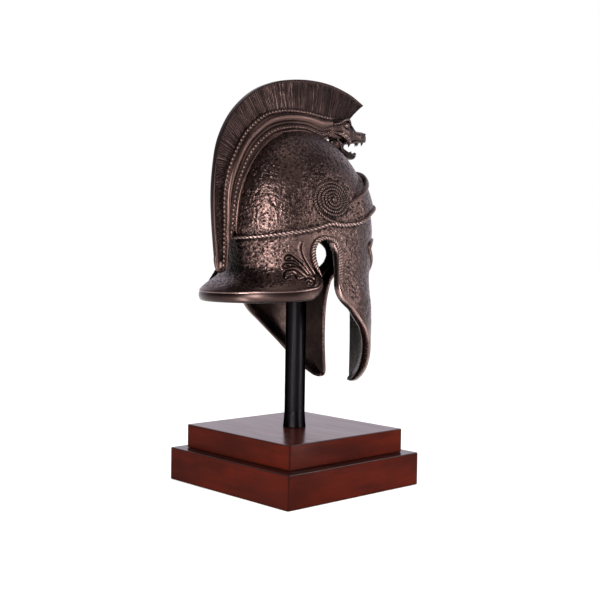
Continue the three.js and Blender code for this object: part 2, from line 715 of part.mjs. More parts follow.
const upperFloor = LOWER_TIER_HEIGHT + SEAT_GAP;
const plinthTop = upperFloor + UPPER_TIER_HEIGHT;
const postFoot = plinthTop + SEAT_GAP;
const postTop = BOWL_TOP - WALL - POST_TOP_DROP;
const collarBore = POST_RADIUS + SEAT_GAP;

const post = turned([
  [0, postFoot],
  [POST_RADIUS, postFoot],
  [POST_RADIUS, postTop],
  [0, postTop],
], 24);

const collar = turned([
  [collarBore, postFoot],
  [COLLAR_RADIUS, postFoot],
  [COLLAR_RADIUS, postFoot + COLLAR_LIP],
  [collarBore + 1.2, postFoot + COLLAR_HEIGHT],
  [collarBore, postFoot + COLLAR_HEIGHT],
  [collarBore, postFoot],
], 16);

const plume = solid(plumeBody(SEAT_GAP, 0));
const plumeSeat = solid(plumeBody(0, SEAT_GAP));
const holder = fuse([holderBody(), tailWrap(), ...headBodies()])
  .subtract(solid(bowlBlock(SEAT_GAP)))
  .subtract(plumeSeat);

const helmet = new THREE.Group();
helmet.name = 'bronze_helmet_on_stand';
helmet.add(meshOf('plinth_lower', solid(tier(PLINTH_SIDE, 0, LOWER_TIER_HEIGHT)), MAHOGANY));
helmet.add(meshOf('plinth_upper', solid(tier(UPPER_TIER_SIDE, upperFloor, UPPER_TIER_HEIGHT)), MAHOGANY));
helmet.add(meshOf('post', solid(post), BLACK_LACQUER));
helmet.add(meshOf('post_collar', solid(collar), BLACK_LACQUER));
helmet.add(meshOf('helmet_shell', helmetShell(), BRONZE));
helmet.add(meshOf('crest_holder', holder, DARK_BRONZE));
helmet.add(meshOf('crest_plume', plume, PLUME_BRONZE));

export default helmet;
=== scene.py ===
"""Looks of a crested bronze helmet that stands on a black post and a stepped mahogany plinth.

Metres, z up, origin under the middle of the plinth, the face of the helmet towards -Y.
"""

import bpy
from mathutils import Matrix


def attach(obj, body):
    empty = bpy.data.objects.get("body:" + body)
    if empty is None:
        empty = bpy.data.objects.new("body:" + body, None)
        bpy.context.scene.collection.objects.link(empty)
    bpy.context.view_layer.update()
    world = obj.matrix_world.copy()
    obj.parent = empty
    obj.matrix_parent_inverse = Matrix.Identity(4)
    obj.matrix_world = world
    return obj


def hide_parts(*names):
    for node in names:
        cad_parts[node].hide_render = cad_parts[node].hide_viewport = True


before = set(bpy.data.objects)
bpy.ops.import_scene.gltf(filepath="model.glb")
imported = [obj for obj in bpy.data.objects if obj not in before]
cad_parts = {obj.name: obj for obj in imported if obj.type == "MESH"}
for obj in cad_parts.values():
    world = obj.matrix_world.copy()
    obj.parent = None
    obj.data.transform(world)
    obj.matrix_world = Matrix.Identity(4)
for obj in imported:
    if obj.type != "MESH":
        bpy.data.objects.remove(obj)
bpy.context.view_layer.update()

import logging
import math
from dataclasses import dataclass
from enum import Enum
from typing import NamedTuple, Sequence

import bpy
import numpy as np
from mathutils import Matrix, Vector

LOG = logging.getLogger("helmet")
BODY = "root"
# Metres that one degree counts for while a run of [degrees, height] is measured
DEGREE_RUN = 0.0018
TINY = 1e-9
ON_LINE = 1e-7
POLE_AREA = 1e-12
WELD = 2e-6
SEARCH_BLOCK = 2000
CURVE_SAMPLES = 40
SCATTER_TURNS = (127.1, 311.7, 74.7)
SCATTER_SCALE = 43758.5453
PIT_SALTS = (1.3, 7.9, 4.1)
FIELD_SALT = 2.6
STRAND_SALT = 5.5
NOISE_SPAN = (0.3, 0.7)
BEAD_RELIEF = (0.25, 0.6)
WHITE = (1.0, 1.0, 1.0)

Colour = tuple[float, float, float]
Place = tuple[float, float]
Spot = tuple[float, float, float]
Run = Sequence[Place]
Array = np.ndarray
Material = bpy.types.Material
Socket = bpy.types.NodeSocket
join = np.concatenate


class Slot(Enum):
    """Names of material slots."""

    BRONZE = "bronze"
    CREST = "crest_bronze"
    PLUME = "plume_bronze"
    WOOD = "mahogany"
    LACQUER = "black_lacquer"


class Side(Enum):
    """Sides of the helmet as its wearer has them, with the sign of x."""

    RIGHT = 1.0
    LEFT = -1.0

    @property
    def word(self) -> str:
        """Lower-case name of the side."""
        return self.name.lower()

    @property
    def flip(self) -> Array:
        """Factors that carry a point of the right side to this side."""
        return np.array([self.value, 1.0, 1.0])


def smooth_step(at: Array, low: float | Array, high: float | Array) -> Array:
    """Smooth ramp from 0 at low to 1 at high, by 3t^2 - 2t^3.

    Args:
        at: Values to place on the ramp.
        low: Value where the ramp starts.
        high: Value where the ramp ends.

    Returns:
        Shares from 0 to 1.
    """
    t = np.clip((at - low) / (high - low), 0.0, 1.0)
    return t * t * (3.0 - 2.0 * t)


def hump(at: Array, middle: float, width: float) -> Array:
    """Bell curve exp(-((at - middle) / width)^2)."""
    return np.exp(-(((at - middle) / width) ** 2))


def unit(vectors: Array) -> Array:
    """Vectors scaled to length one."""
    return vectors / np.maximum(np.linalg.norm(vectors, axis=-1, keepdims=True), TINY)


def through_rows(keys: Sequence[float], values: Sequence[float], at: Array) -> Array:
    """Smooth curve through the rows of a table.

    Each stretch is a cubic with the harmonic mean of the neighbouring slopes at its ends, so the curve never
    overshoots a row. Past the ends the last value holds.

    Args:
        keys: Rising or falling keys.
        values: Value at each key.
        at: Keys to read the curve at.

    Returns:
        Values of the curve.
    """
    x, y = np.asarray(keys, float), np.asarray(values, float)
    if x[0] > x[-1]:
        x, y = x[::-1], y[::-1]
    inside = np.clip(at, x[0], x[-1])
    i = np.clip(np.searchsorted(x, inside, side="left") - 1, 0, len(x) - 2)
    secant = np.diff(y) / np.diff(x)
    product, total = secant[:-1] * secant[1:], secant[:-1] + secant[1:]
    inner = np.where(product > 0, 2 * product / np.where(np.abs(total) < TINY, 1.0, total), 0.0)
    slope = join([secant[:1], inner, secant[-1:]])
    step = x[i + 1] - x[i]
    t = (inside - x[i]) / step
    rise = t * t * (3 - 2 * t)
    ends = slope[i] * t * (1 - t) ** 2 - slope[i + 1] * t * t * (1 - t)
    return y[i] * (1 - rise) + y[i + 1] * rise + step * ends


def spline_at(points: Array, share: Array) -> Array:
    """Curve through points, each stretch a cubic whose end slopes join the neighbouring points.

    Args:
        points: Rows of coordinates.
        share: Places on the curve, from 0 at the first row to 1 at the last.

    Returns:
        A row of coordinates for each share.
    """
    rows = np.asarray(points, float)
    last = len(rows) - 1
    t = np.clip(share, 0.0, 1.0) * last
    i = np.minimum(t.astype(int), last - 1)
    w = (t - i)[:, None]
    before, here = rows[np.maximum(i - 1, 0)], rows[i]
    ahead, beyond = rows[i + 1], rows[np.minimum(i + 2, last)]
    leave, arrive = (ahead - before) / 2, (beyond - here) / 2
    cubic = 2 * here - 2 * ahead + leave + arrive
    square = 3 * ahead - 3 * here - 2 * leave - arrive
    return ((cubic * w + square) * w + leave) * w + here


def even_shares(points: Array, cells: int, scale: Sequence[float] | None = None) -> Array:
    """Shares of a curve that lie at even steps along its length.

    Args:
        points: Rows of coordinates that the curve passes through.
        cells: Number of steps.
        scale: Factor for each coordinate while the length is measured.

    Returns:
        One share more than there are steps.
    """
    share = np.linspace(0.0, 1.0, CURVE_SAMPLES * len(points) + 1)
    fine = spline_at(points, share) * (1.0 if scale is None else np.asarray(scale))
    length = join([[0.0], np.cumsum(np.linalg.norm(np.diff(fine, axis=0), axis=1))])
    return np.interp(np.linspace(0.0, length[-1], cells + 1), length, share)


def even_curve(points: Array, cells: int) -> Array:
    """Even steps along a curve through points in space."""
    return spline_at(points, even_shares(points, cells))


def even_run(run: Run, cells: int) -> Array:
    """Even steps along a curve through [degrees, height] points on the shell."""
    return spline_at(np.asarray(run), even_shares(np.asarray(run), cells, (DEGREE_RUN, 1.0)))


def scatter(cells: Array, salt: float) -> Array:
    """Repeatable values from 0 to 1 for whole-number cells, from the fraction of a steep sine."""
    mixed = np.sin(cells @ np.array(SCATTER_TURNS) + salt) * SCATTER_SCALE
    return mixed - np.floor(mixed)


def pit_field(points: Array, size: float) -> Array:
    """Distance to the nearest of many scattered pit centres, one for each cube of a lattice.

    Args:
        points: Places in space.
        size: Side of the lattice's cubes.

    Returns:
        Distances as shares of the cube's side.
    """
    local = points / size
    home = np.floor(local)
    nearest = np.full(len(points), np.inf)
    for offset in np.stack(np.meshgrid(*[[-1, 0, 1]] * 3), -1).reshape(-1, 3):
        cell = home + offset
        centre = cell + np.stack([scatter(cell, salt) for salt in PIT_SALTS], -1)
        nearest = np.minimum(nearest, np.linalg.norm(local - centre, axis=1))
    return nearest


def soft_field(points: Array, size: float) -> Array:
    """Smooth random field from 0 to 1: values at the corners of a lattice, blended across each cube.

    Args:
        points: Places in space.
        size: Side of the lattice's cubes.

    Returns:
        One value for each place.
    """
    local = points / size
    home = np.floor(local)
    part = smooth_step(local - home, 0.0, 1.0)
    total = np.zeros(len(points))
    for corner in np.stack(np.meshgrid(*[[0, 1]] * 3), -1).reshape(-1, 3):
        weight = np.prod(np.where(corner == 1, part, 1.0 - part), axis=1)
        total += weight * scatter(home + corner, FIELD_SALT)
    return total


class Nodes:
    """Short way to write the node tree of a material or a world."""

    def __init__(self, owner: Material | bpy.types.World) -> None:
        """Starts from an empty tree.

        Args:
            owner: Material or world that has the tree.
        """
        owner.use_nodes = True
        self.owner, self.tree = owner, owner.node_tree
        self.tree.nodes.clear()

    def add(self, kind: str, inputs: dict | None = None, **settings: object) -> bpy.types.Node:
        """Adds a node.

        Args:
            kind: Name of the node type after ShaderNode.
            inputs: Value or source socket for each named or numbered input.
            **settings: Properties of the node.

        Returns:
            The node.
        """
        node = self.tree.nodes.new("ShaderNode" + kind)
        for name, value in settings.items():
            setattr(node, name, value)
        for name, value in (inputs or {}).items():
            if isinstance(value, Socket):
                self.tree.links.new(value, node.inputs[name])
            else:
                node.inputs[name].default_value = value
        return node

    def math(self, operation: str, *values: Socket | float) -> Socket:
        """Output of a Math node on numbers or sockets."""
        return self.add("Math", dict(enumerate(values)), operation=operation).outputs[0]

    def ramp(self, value: Socket, span: Place, ends: Place = (0.0, 1.0)) -> Socket:
        """Value carried smoothly from a span to two end values, and held past them."""
        inputs = dict(zip(("From Min", "From Max", "To Min", "To Max"), (*span, *ends)))
        return self.add("MapRange", {"Value": value, **inputs}, interpolation_type="SMOOTHSTEP").outputs[0]

    def mix(self, share: Socket, first: Socket | Colour, second: Socket | Colour) -> Socket:
        """Colour between two colours or colour sockets, which are inputs 6 and 7 of a Mix node."""
        colours = [value if isinstance(value, Socket) else (*value, 1.0) for value in (first, second)]
        return self.add("Mix", {0: share, 6: colours[0], 7: colours[1]}, data_type="RGBA").outputs[2]

    def noise(self, place: Socket, scale: float, detail: float, rough: float = 0.5) -> Socket:
        """Value of a noise texture at a place."""
        inputs = {"Vector": place, "Scale": scale, "Detail": detail, "Roughness": rough}
        return self.add("TexNoise", inputs).outputs["Fac"]

    def drawn(self, place: Socket, scale: Spot) -> Socket:
        """Place stretched by a scale along each axis."""
        return self.add("Mapping", {"Vector": place, "Scale": scale}).outputs[0]

    def attribute(self, name: str, output: str = "Fac") -> Socket:
        """Attribute of the mesh by its name."""
        return self.add("Attribute", attribute_name=name).outputs[output]

    def finish(self, inputs: dict) -> Material:
        """Sends a principled shader to the surface.

        Args:
            inputs: Value or source socket for each input.

        Returns:
            The material.
        """
        shader = self.add("BsdfPrincipled", inputs)
        self.add("OutputMaterial", {"Surface": shader.outputs[0]})
        return self.owner


@dataclass(frozen=True)
class Bronze:
    """Dark brown bronze with worn copper highlights.

    The relief attribute of a mesh is 0 in its grooves and 1 on its ridges: grooves are waxed dark, and ridges
    are rubbed bright; some pieces also add painted shade and painted highlights to it. The hammer attribute
    is 1 where the surface is pitted.
    """

    name: str
    dark: Colour = (0.011, 0.0072, 0.0066)
    body: Colour = (0.088, 0.054, 0.048)
    worn: Colour = (0.37, 0.255, 0.235)
    rough: float = 0.235
    pit_size: float = 0.0041
    pit_edge: Place = (0.14, 0.52)
    pit_depth: float = 0.00042
    pit_tone: float = 0.3
    pit_rough: float = 0.2
    wave_size: float = 0.0042
    wave_depth: float = 0.0009
    grain_scale: float = 1400.0
    grain_depth: float = 0.00012
    patch_scale: float = 26.0
    patch_tone: float = 0.4
    patch_rough: float = 0.06
    relief_tone: float = 0.66
    wax_tones: Place = (0.08, 0.5)
    worn_tones: Place = (0.56, 0.98)

    def material(self) -> Material:
        """Adds relief, patches and waves, less the pits, to a tone, which picks the dark, body or worn
        colour.

        Returns:
            Node material of the finish.
        """
        nodes = Nodes(bpy.data.materials.new(self.name))
        place = nodes.add("TexCoord").outputs["Object"]
        relief, hammer = nodes.attribute("relief"), nodes.attribute("hammer")
        coarse = nodes.noise(place, 1.0 / self.wave_size, detail=2.0)
        spots = nodes.add("TexVoronoi", {"Vector": place, "Scale": 1.0 / self.pit_size}).outputs["Distance"]
        pits = nodes.math("MULTIPLY", nodes.ramp(spots, self.pit_edge, (1.0, 0.0)), hammer)
        waves = nodes.math("MULTIPLY", coarse, hammer)
        grain = nodes.noise(place, self.grain_scale, detail=3.0)
        patches = nodes.noise(place, self.patch_scale, detail=4.0, rough=0.6)
        clouds = nodes.math("MULTIPLY", patches, self.patch_tone)
        lift = nodes.math("MULTIPLY_ADD", relief, self.relief_tone, clouds)
        crowns = nodes.math("MULTIPLY", nodes.math("SUBTRACT", coarse, 0.5), hammer)
        raised = nodes.math("ADD", crowns, lift)
        tone = nodes.math("SUBTRACT", raised, nodes.math("MULTIPLY", pits, self.pit_tone))
        waxed = nodes.mix(nodes.ramp(tone, self.wax_tones), self.dark, self.body)
        colour = nodes.mix(nodes.ramp(tone, self.worn_tones), waxed, self.worn)
        smooth = nodes.ramp(patches, NOISE_SPAN, (self.rough + self.patch_rough, self.rough))
        roughness = nodes.math("MULTIPLY_ADD", pits, self.pit_rough, smooth)
        height = nodes.math("MULTIPLY", pits, -self.pit_depth)
        height = nodes.math("MULTIPLY_ADD", waves, self.wave_depth, height)
        height = nodes.math("MULTIPLY_ADD", grain, self.grain_depth, height)
        bump = nodes.add("Bump", {"Height": height, "Strength": 1.0, "Distance": 1.0}).outputs[0]
        return nodes.finish({"Base Color": colour, "Roughness": roughness, "Metallic": 1.0, "Normal": bump})


@dataclass(frozen=True)
class Wood:
    """Glossy red-brown mahogany with fine dark streaks along the grain and dark rubbed edges.

    The grain attribute of a mesh holds the place along and across the grain, and its edge attribute is 1 on
    the arrises and darkens the lower tier's top next to the upper tier. The polish attribute is 1 on its
    level faces, which are glossier than the rubbed sides.
    """

    name: str
    light: Colour = (0.039, 0.0045, 0.002)
    deep: Colour = (0.0195, 0.003, 0.0018)
    streak: Colour = (0.009, 0.0026, 0.002)
    edge: Colour = (0.0035, 0.0018, 0.0016)
    gloss: Place = (0.015, 0.45)
    satin: Place = (0.2, 0.27)
    band_scale: Spot = (7.0, 110.0, 1.0)
    band_share: float = 0.35
    cloud_scale: Spot = (9.0, 22.0, 1.0)
    cloud_share: float = 0.8
    light_span: Place = (0.42, 0.74)
    pore_scale: Spot = (40.0, 1000.0, 1.0)
    pore_span: Place = (0.55, 0.72)
    pore_share: float = 0.6
    pore_bump: float = 0.1
    pore_depth: float = 0.0003
    edge_wander: float = 0.7
    edge_span: Place = (0.2, 0.95)

    def material(self) -> Material:
        """Draws noise out along the grain for bands, clouds and pores, and darkens the edges unevenly.

        Returns:
            Node material of the finish.
        """
        nodes = Nodes(bpy.data.materials.new(self.name))
        grain = nodes.attribute("grain", "Vector")
        bands = nodes.noise(nodes.drawn(grain, self.band_scale), 1.0, detail=5.0, rough=0.6)
        cloud = nodes.noise(nodes.drawn(grain, self.cloud_scale), 1.0, detail=4.0)
        pores = nodes.noise(nodes.drawn(grain, self.pore_scale), 1.0, detail=3.0, rough=0.6)
        banded = nodes.math("MULTIPLY", bands, self.band_share)
        shade = nodes.math("MULTIPLY_ADD", cloud, self.cloud_share, banded)
        base = nodes.mix(nodes.ramp(shade, self.light_span), self.deep, self.light)
        in_pores = nodes.math("MULTIPLY", nodes.ramp(pores, self.pore_span), self.pore_share)
        wander = nodes.math("MULTIPLY_ADD", cloud, self.edge_wander, -self.edge_wander / 2)
        darkening = nodes.ramp(nodes.math("ADD", nodes.attribute("edge"), wander), self.edge_span)
        bump = nodes.add("Bump", {"Height": pores, "Strength": self.pore_bump, "Distance": self.pore_depth})
        return nodes.finish({
            "Base Color": nodes.mix(darkening, nodes.mix(in_pores, base, self.streak), self.edge),
            "Roughness": nodes.ramp(bands, NOISE_SPAN, self.satin), "Normal": bump.outputs[0],
            "Specular IOR Level": nodes.ramp(nodes.attribute("polish"), (0.0, 1.0), self.gloss),
        })


@dataclass(frozen=True)
class Lacquer:
    """Glossy black lacquer with faint long streaks and a little dust."""

    name: str
    black: Colour = (0.0058, 0.005, 0.0056)
    dusty: Colour = (0.0105, 0.009, 0.01)
    rim: Colour = (0.08, 0.076, 0.08)
    satin: Place = (0.31, 0.37)
    streak_scale: Spot = (160.0, 160.0, 5.0)
    dust_scale: float = 420.0
    dust_span: Place = (0.2, 0.42)

    def material(self) -> Material:
        """Lightens the lacquer where both the upright streaks and the dust are high.

        Returns:
            Node material of the finish.
        """
        nodes = Nodes(bpy.data.materials.new(self.name))
        place = nodes.add("TexCoord").outputs["Object"]
        streaks = nodes.noise(nodes.drawn(place, self.streak_scale), 1.0, detail=3.0)
        dust = nodes.noise(place, self.dust_scale, detail=4.0, rough=0.65)
        dusted = nodes.ramp(nodes.math("MULTIPLY", dust, streaks), self.dust_span)
        return nodes.finish({
            "Base Color": nodes.mix(dusted, self.black, self.dusty), "Metallic": 1.0,
            "Roughness": nodes.ramp(streaks, NOISE_SPAN, self.satin), "Specular Tint": (*self.rim, 1.0),
        })


@dataclass(frozen=True)
class Floor:
    """Matt pale floor with a very faint mottling."""

    name: str
    pale: Colour = (0.83, 0.83, 0.83)
    paler: Colour = (0.87, 0.87, 0.87)
    rough: float = 0.7
    specular: float = 0.2
    mottle_scale: float = 3.0

    def material(self) -> Material:
        """Mixes the two pale tones by a soft noise.

        Returns:
            Node material of the finish.
        """
        nodes = Nodes(bpy.data.materials.new(self.name))
        place = nodes.add("TexCoord").outputs["Object"]
        colour = nodes.mix(nodes.noise(place, self.mottle_scale, detail=3.0), self.pale, self.paler)
        return nodes.finish({
            "Base Color": colour, "Roughness": self.rough, "Specular IOR Level": self.specular,
        })


Finish = Bronze | Wood | Lacquer


class Body:
    """Points, faces and attributes of one piece, gathered from closed surfaces."""

    def __init__(self) -> None:
        """Starts with nothing."""
        self.points: list[Array] = []
        self.quads: list[Array] = []
        self.triangles: list[Array] = []
        self.values: dict[str, list[Array]] = {}
        self.count = 0

    def add(self, points: Array, quads: Array, triangles: Array, **values: Array) -> None:
        """Adds one closed surface, turned so that it encloses a positive volume.

        Args:
            points: Corners, n by 3.
            quads: Four corner numbers for each face.
            triangles: Three corner numbers for each face.
            **values: A number, or a row of three, for each corner, by attribute name.
        """
        corners = join([triangles, quads[:, [0, 1, 2]], quads[:, [0, 2, 3]]])
        a, b, c = (points[corners[:, k]] - points.mean(axis=0) for k in range(3))
        if np.sum(a * np.cross(b, c)) < 0:
            quads, triangles = quads[:, ::-1], triangles[:, ::-1]
        self.points.append(points)
        self.quads.append(quads + self.count)
        self.triangles.append(triangles + self.count)
        for name, value in values.items():
            self.values.setdefault(name, []).append(np.asarray(value, float))
        self.count += len(points)

    def tube(self, rings: Array, closed: bool = False, **values: Array) -> None:
        """Adds a surface through a row of closed rings, with its ends joined or closed by fans.

        Args:
            rings: Points, by ring and by place on the ring.
            closed: True where the last ring joins the first.
            **values: An attribute for each point of the rings.
        """
        rows, sides = rings.shape[:2]
        ids = np.arange(rows * sides).reshape(rows, sides)
        here = ids if closed else ids[:-1]
        ahead = np.roll(ids, -1, axis=0) if closed else ids[1:]
        quads = np.stack([here, np.roll(here, -1, 1), np.roll(ahead, -1, 1), ahead], -1).reshape(-1, 4)
        points = rings.reshape(-1, 3)
        flat = {name: np.asarray(value, float).reshape(rows * sides, -1) for name, value in values.items()}
        triangles = np.zeros((0, 3), int)
        if not closed:
            hubs = rings[[0, -1]].mean(axis=1)
            first, last = rows * sides, rows * sides + 1
            start = np.stack([np.roll(ids[0], -1), ids[0], np.full(sides, first)], -1)
            end = np.stack([ids[-1], np.roll(ids[-1], -1), np.full(sides, last)], -1)
            triangles = join([start, end])
            points = join([points, hubs])
            for name, value in flat.items():
                ends = [value[:sides].mean(axis=0), value[-sides:].mean(axis=0)]
                flat[name] = join([value, ends])
        self.add(points, quads, triangles, **{name: np.squeeze(value) for name, value in flat.items()})

    def piece(self, name: str, finish: Finish, slot: Slot, stands_for: Sequence[str] = ()) -> None:
        """Makes the mesh object, dresses it and lets it ride on the frame.

        Args:
            name: Name of the piece.
            finish: Finish whose material it wears.
            slot: Not used.
            stands_for: CAD nodes that it replaces.
        """
        points, quads = join(self.points), join(self.quads)
        triangles = join(self.triangles)
        mesh = bpy.data.meshes.new(name)
        mesh.vertices.add(len(points))
        mesh.vertices.foreach_set("co", points.astype(np.float32).ravel())
        corners = join([quads.ravel(), triangles.ravel()]).astype(np.int32)
        starts = join([4 * np.arange(len(quads)), 4 * len(quads) + 3 * np.arange(len(triangles))])
        mesh.loops.add(len(corners))
        mesh.loops.foreach_set("vertex_index", corners)
        mesh.polygons.add(len(starts))
        mesh.polygons.foreach_set("loop_start", starts.astype(np.int32))
        mesh.polygons.foreach_set("use_smooth", np.ones(len(starts), bool))
        for label, arrays in self.values.items():
            value = join(arrays).astype(np.float32)
            kind, key = ("FLOAT", "value") if value.ndim == 1 else ("FLOAT_VECTOR", "vector")
            mesh.attributes.new(label, kind, "POINT").data.foreach_set(key, value.ravel())
        mesh.update(calc_edges=True)
        mesh.validate()
        made = bpy.data.objects.new(name, mesh)
        bpy.context.scene.collection.objects.link(made)
        made.data.materials.append(finish.material())
        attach(made, BODY)
        if stands_for:
            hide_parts(*stands_for)
        LOG.info("%s: %d triangles", name, 2 * len(quads) + len(triangles))


def path_frames(path: Array, outs: Array, closed: bool = False) -> tuple[Array, Array]:
    """Directions across a path: one nearest to its outward direction, and one across both.

    Args:
        path: Points of the path.
        outs: Rough outward direction at each point.
        closed: True where the path ends where it starts, without repeating that point.

    Returns:
        Outward and sideways unit vectors.
    """
    if closed:
        ahead = np.roll(path, -1, axis=0) - np.roll(path, 1, axis=0)
    else:
        ahead = np.gradient(path, axis=0)
    side = unit(np.cross(unit(ahead), outs))
    return unit(np.cross(side, unit(ahead))), side


def path_lengths(path: Array, closed: bool = False) -> Array:
    """Length along a path at each of its points, and the whole length last where it is closed."""
    steps = np.diff(join([path, path[:1]]) if closed else path, axis=0)
    return join([[0.0], np.cumsum(np.linalg.norm(steps, axis=1))])


def end_taper(count: int, least: float, first: float, last: float) -> Array:
    """Factors along a bar that swell smoothly from least to 1 over some first and some last steps."""
    steps = np.arange(count)
    return least + (1.0 - least) * smooth_step(steps, 0.0, first) * smooth_step(steps[::-1], 0.0, last)


@dataclass(frozen=True)
class Strand:
    """Raised bar laid along a path, plain or twisted like rope.

    A twisted bar is the outline of round yarns that turn about the path: the radius towards the nearest
    yarn is o cos a + sqrt(r^2 - o^2 sin^2 a).
    """

    radius: float
    yarns: int = 0
    pitch: float = 0.0195
    sides: int = 14
    sunk: float = 0.0
    flat: float = 1.0
    yarn_offset: float = 0.44
    yarn_radius: float = 0.56
    plain_relief: float = 0.62
    groove_relief: float = 0.05
    top_light: float = 0.4
    least_light: float = -0.5

    def lay(
        self, body: Body, path: Array, outs: Array, taper: Array | float = 1.0, closed: bool = False,
    ) -> None:
        """Adds the bar to a body, with relief from 0 in its grooves to 1 on its ridges, and painted shade
        down its sides and underside.

        Args:
            body: Body that gets the bar.
            path: Points of the path.
            outs: Outward direction at each point.
            taper: Factor on the radius at each point.
            closed: True where the path closes on itself.
        """
        out, side = path_frames(path, outs, closed)
        whole = path_lengths(path, closed)
        along = whole[: len(path), None]
        if closed:
            along = along * (round(whole[-1] / self.pitch) * self.pitch / whole[-1])
        angle = np.linspace(0.0, 2 * np.pi, self.sides, endpoint=False)[None, :]
        reach = np.ones((len(path), self.sides))
        relief = np.full_like(reach, self.plain_relief)
        if self.yarns:
            share = np.pi / self.yarns
            turn = angle - 2 * np.pi * along / self.pitch
            near = np.mod(turn + share, 2 * share) - share
            across = (self.yarn_offset * np.sin(near)) ** 2
            reach = self.yarn_offset * np.cos(near) + np.sqrt(self.yarn_radius**2 - across)
            low = reach.min()
            relief = self.groove_relief + (1 - self.groove_relief) * (reach - low) / (1.0 - low)
        size = (self.radius * np.broadcast_to(taper, len(path)))[:, None]
        reach = reach * size
        centre = path - out * (self.sunk * size)
        up, over = reach * np.cos(angle) * self.flat, reach * np.sin(angle)
        rings = centre[:, None] + up[..., None] * out[:, None] + over[..., None] * side[:, None]
        # Painted shade: the relief is full on the bar's outer top and falls off down its sides and underside.
        light = 1 - self.top_light + self.top_light * np.maximum(np.cos(angle), self.least_light)
        body.tube(rings, closed, relief=relief * light)


class Ball(Enum):
    """Finenesses of an oval bead: faces round it, and from pole to pole."""

    BEAD = (10, 7)
    KNOB = (14, 10)
    BOSS = (20, 14)
    EYE = (24, 16)
    FILL = (24, 18)


def blobs(body: Body, centres: Array, axes: Array, ball: Ball = Ball.BEAD) -> None:
    """Adds an oval bead at each centre: a sphere's grid stretched along three axes.

    Args:
        body: Body that gets the beads.
        centres: Middle of each bead.
        axes: Three half-axis vectors for each bead.
        ball: Fineness of the grid.
    """
    sides, rows = ball.value
    polar = np.linspace(0.0, np.pi, rows + 1)[1:-1, None]
    around = np.linspace(0.0, 2 * np.pi, sides, endpoint=False)[None, :]
    height = np.broadcast_to(np.cos(polar), (rows - 1, sides))
    sphere = np.stack([np.sin(polar) * np.cos(around), np.sin(polar) * np.sin(around), height], -1)
    light = BEAD_RELIEF[0] + BEAD_RELIEF[1] * np.sin(np.broadcast_to(polar, sphere.shape[:2]))
    for centre, half_axes in zip(centres, axes):
        body.tube(sphere @ half_axes + centre, relief=light)


class Section(NamedTuple):
    """Level section of the shell: height, reach to the front or the back, and half width."""

    z: float
    reach: float
    half: float


class Mark(NamedTuple):
    """Point on the shell: degrees from the front, and height."""

    turn: float
    z: float


FACE_SECTIONS = (
    Section(0.399, 0.132, 0.101), Section(0.38, 0.13, 0.1025), Section(0.362, 0.126, 0.107),
    Section(0.345, 0.117, 0.112), Section(0.328, 0.107, 0.118), Section(0.308, 0.102, 0.1245),
    Section(0.285, 0.1005, 0.1305), Section(0.255, 0.1, 0.1325), Section(0.215, 0.1005, 0.131),
    Section(0.16, 0.102, 0.127),
)
NECK_SECTIONS = (
    Section(0.399, 0.137, 0.101), Section(0.385, 0.133, 0.1), Section(0.365, 0.129, 0.099),
    Section(0.346, 0.128, 0.101), Section(0.337, 0.1305, 0.104), Section(0.328, 0.139, 0.1085),
    Section(0.3195, 0.153, 0.114), Section(0.311, 0.165, 0.119), Section(0.3025, 0.1715, 0.122),
    Section(0.29, 0.173, 0.123),
)
BELT = (
    Mark(0, 0.447), Mark(15, 0.4455), Mark(30, 0.441), Mark(45, 0.434), Mark(54, 0.428), Mark(63, 0.4195),
    Mark(74, 0.412), Mark(90, 0.409), Mark(99, 0.4103), Mark(106, 0.4093), Mark(112, 0.4062),
    Mark(119, 0.4022), Mark(126, 0.3993), Mark(133, 0.3967), Mark(142, 0.3935), Mark(152, 0.3908),
    Mark(165, 0.3885), Mark(180, 0.3875),
)
FRONTLET_EDGE = (
    Mark(0, 0.499), Mark(12, 0.498), Mark(23, 0.4945), Mark(32, 0.4885), Mark(40, 0.4805), Mark(50, 0.472),
    Mark(59, 0.4642), Mark(68.3, 0.4555), Mark(75, 0.4485), Mark(81, 0.4415),
)
NOSE_RIDGE = ((0.33, 0.006), (0.345, 0.0085), (0.38, 0.0065), (0.44, 0.003))
EYE_UPPER = ((20.5, 0.358), (23, 0.375), (31, 0.388), (41, 0.386), (48, 0.377))
EYE_LOWER = ((20.5, 0.358), (21.8, 0.345), (26.5, 0.3355), (34, 0.339), (42, 0.355), (48, 0.377))
EAR_ARCH = ((97.5, 0.3771), (100.3, 0.3842), (104.7, 0.3877), (109.3, 0.389), (113.8, 0.3872),
            (117.2, 0.3828), (119.3, 0.3754))
EAR_FRONT = ((97.5, 0.3771), (96.3, 0.3683), (96.7, 0.3582), (97.7, 0.3477), (99.8, 0.331), (100.8, 0.319),
             (99.8, 0.307))
CHEEK_REAR = ((96.8, 0.297), (91.5, 0.285), (85, 0.269), (77, 0.253), (64, 0.225), (47, 0.19), (35, 0.1725),
              (27, 0.164))
EAR_REAR = ((119.3, 0.3754), (120, 0.3679), (119.5, 0.3587), (118.5, 0.3507), (117, 0.3428), (115.2, 0.3371),
            (113.7, 0.3301))
NECK_RIM = ((113.7, 0.3301), (113.6, 0.326), (115.2, 0.3196), (118, 0.316), (125, 0.3128), (134, 0.3105),
            (148, 0.309), (163, 0.3078), (180, 0.3075))
SLIT_ARCH = ((0, 0.338), (5.5, 0.3365), (10.5, 0.331), (14.2, 0.32))
SLIT_SIDE = ((14.2, 0.32), (18.2, 0.28), (19.2, 0.225), (18, 0.172))
CHEEK_TIP = ((18, 0.172), (18.4, 0.1665), (20, 0.163), (23, 0.1625), (27, 0.164))
NOSE_TO_SLIT = ((20.5, 0.358), (17.8, 0.34), (14.2, 0.32))
SPIRAL_CENTRE = Mark(99.6, 0.4468)
SPIRAL_TAIL = ((88, 0.4096), (93.8, 0.4108), (97.7, 0.4123), (104, 0.4145), (108.8, 0.418), (113, 0.4233),
               (115.7, 0.429), (117.5, 0.4361), (118.5, 0.4436), (118.3, 0.4506))
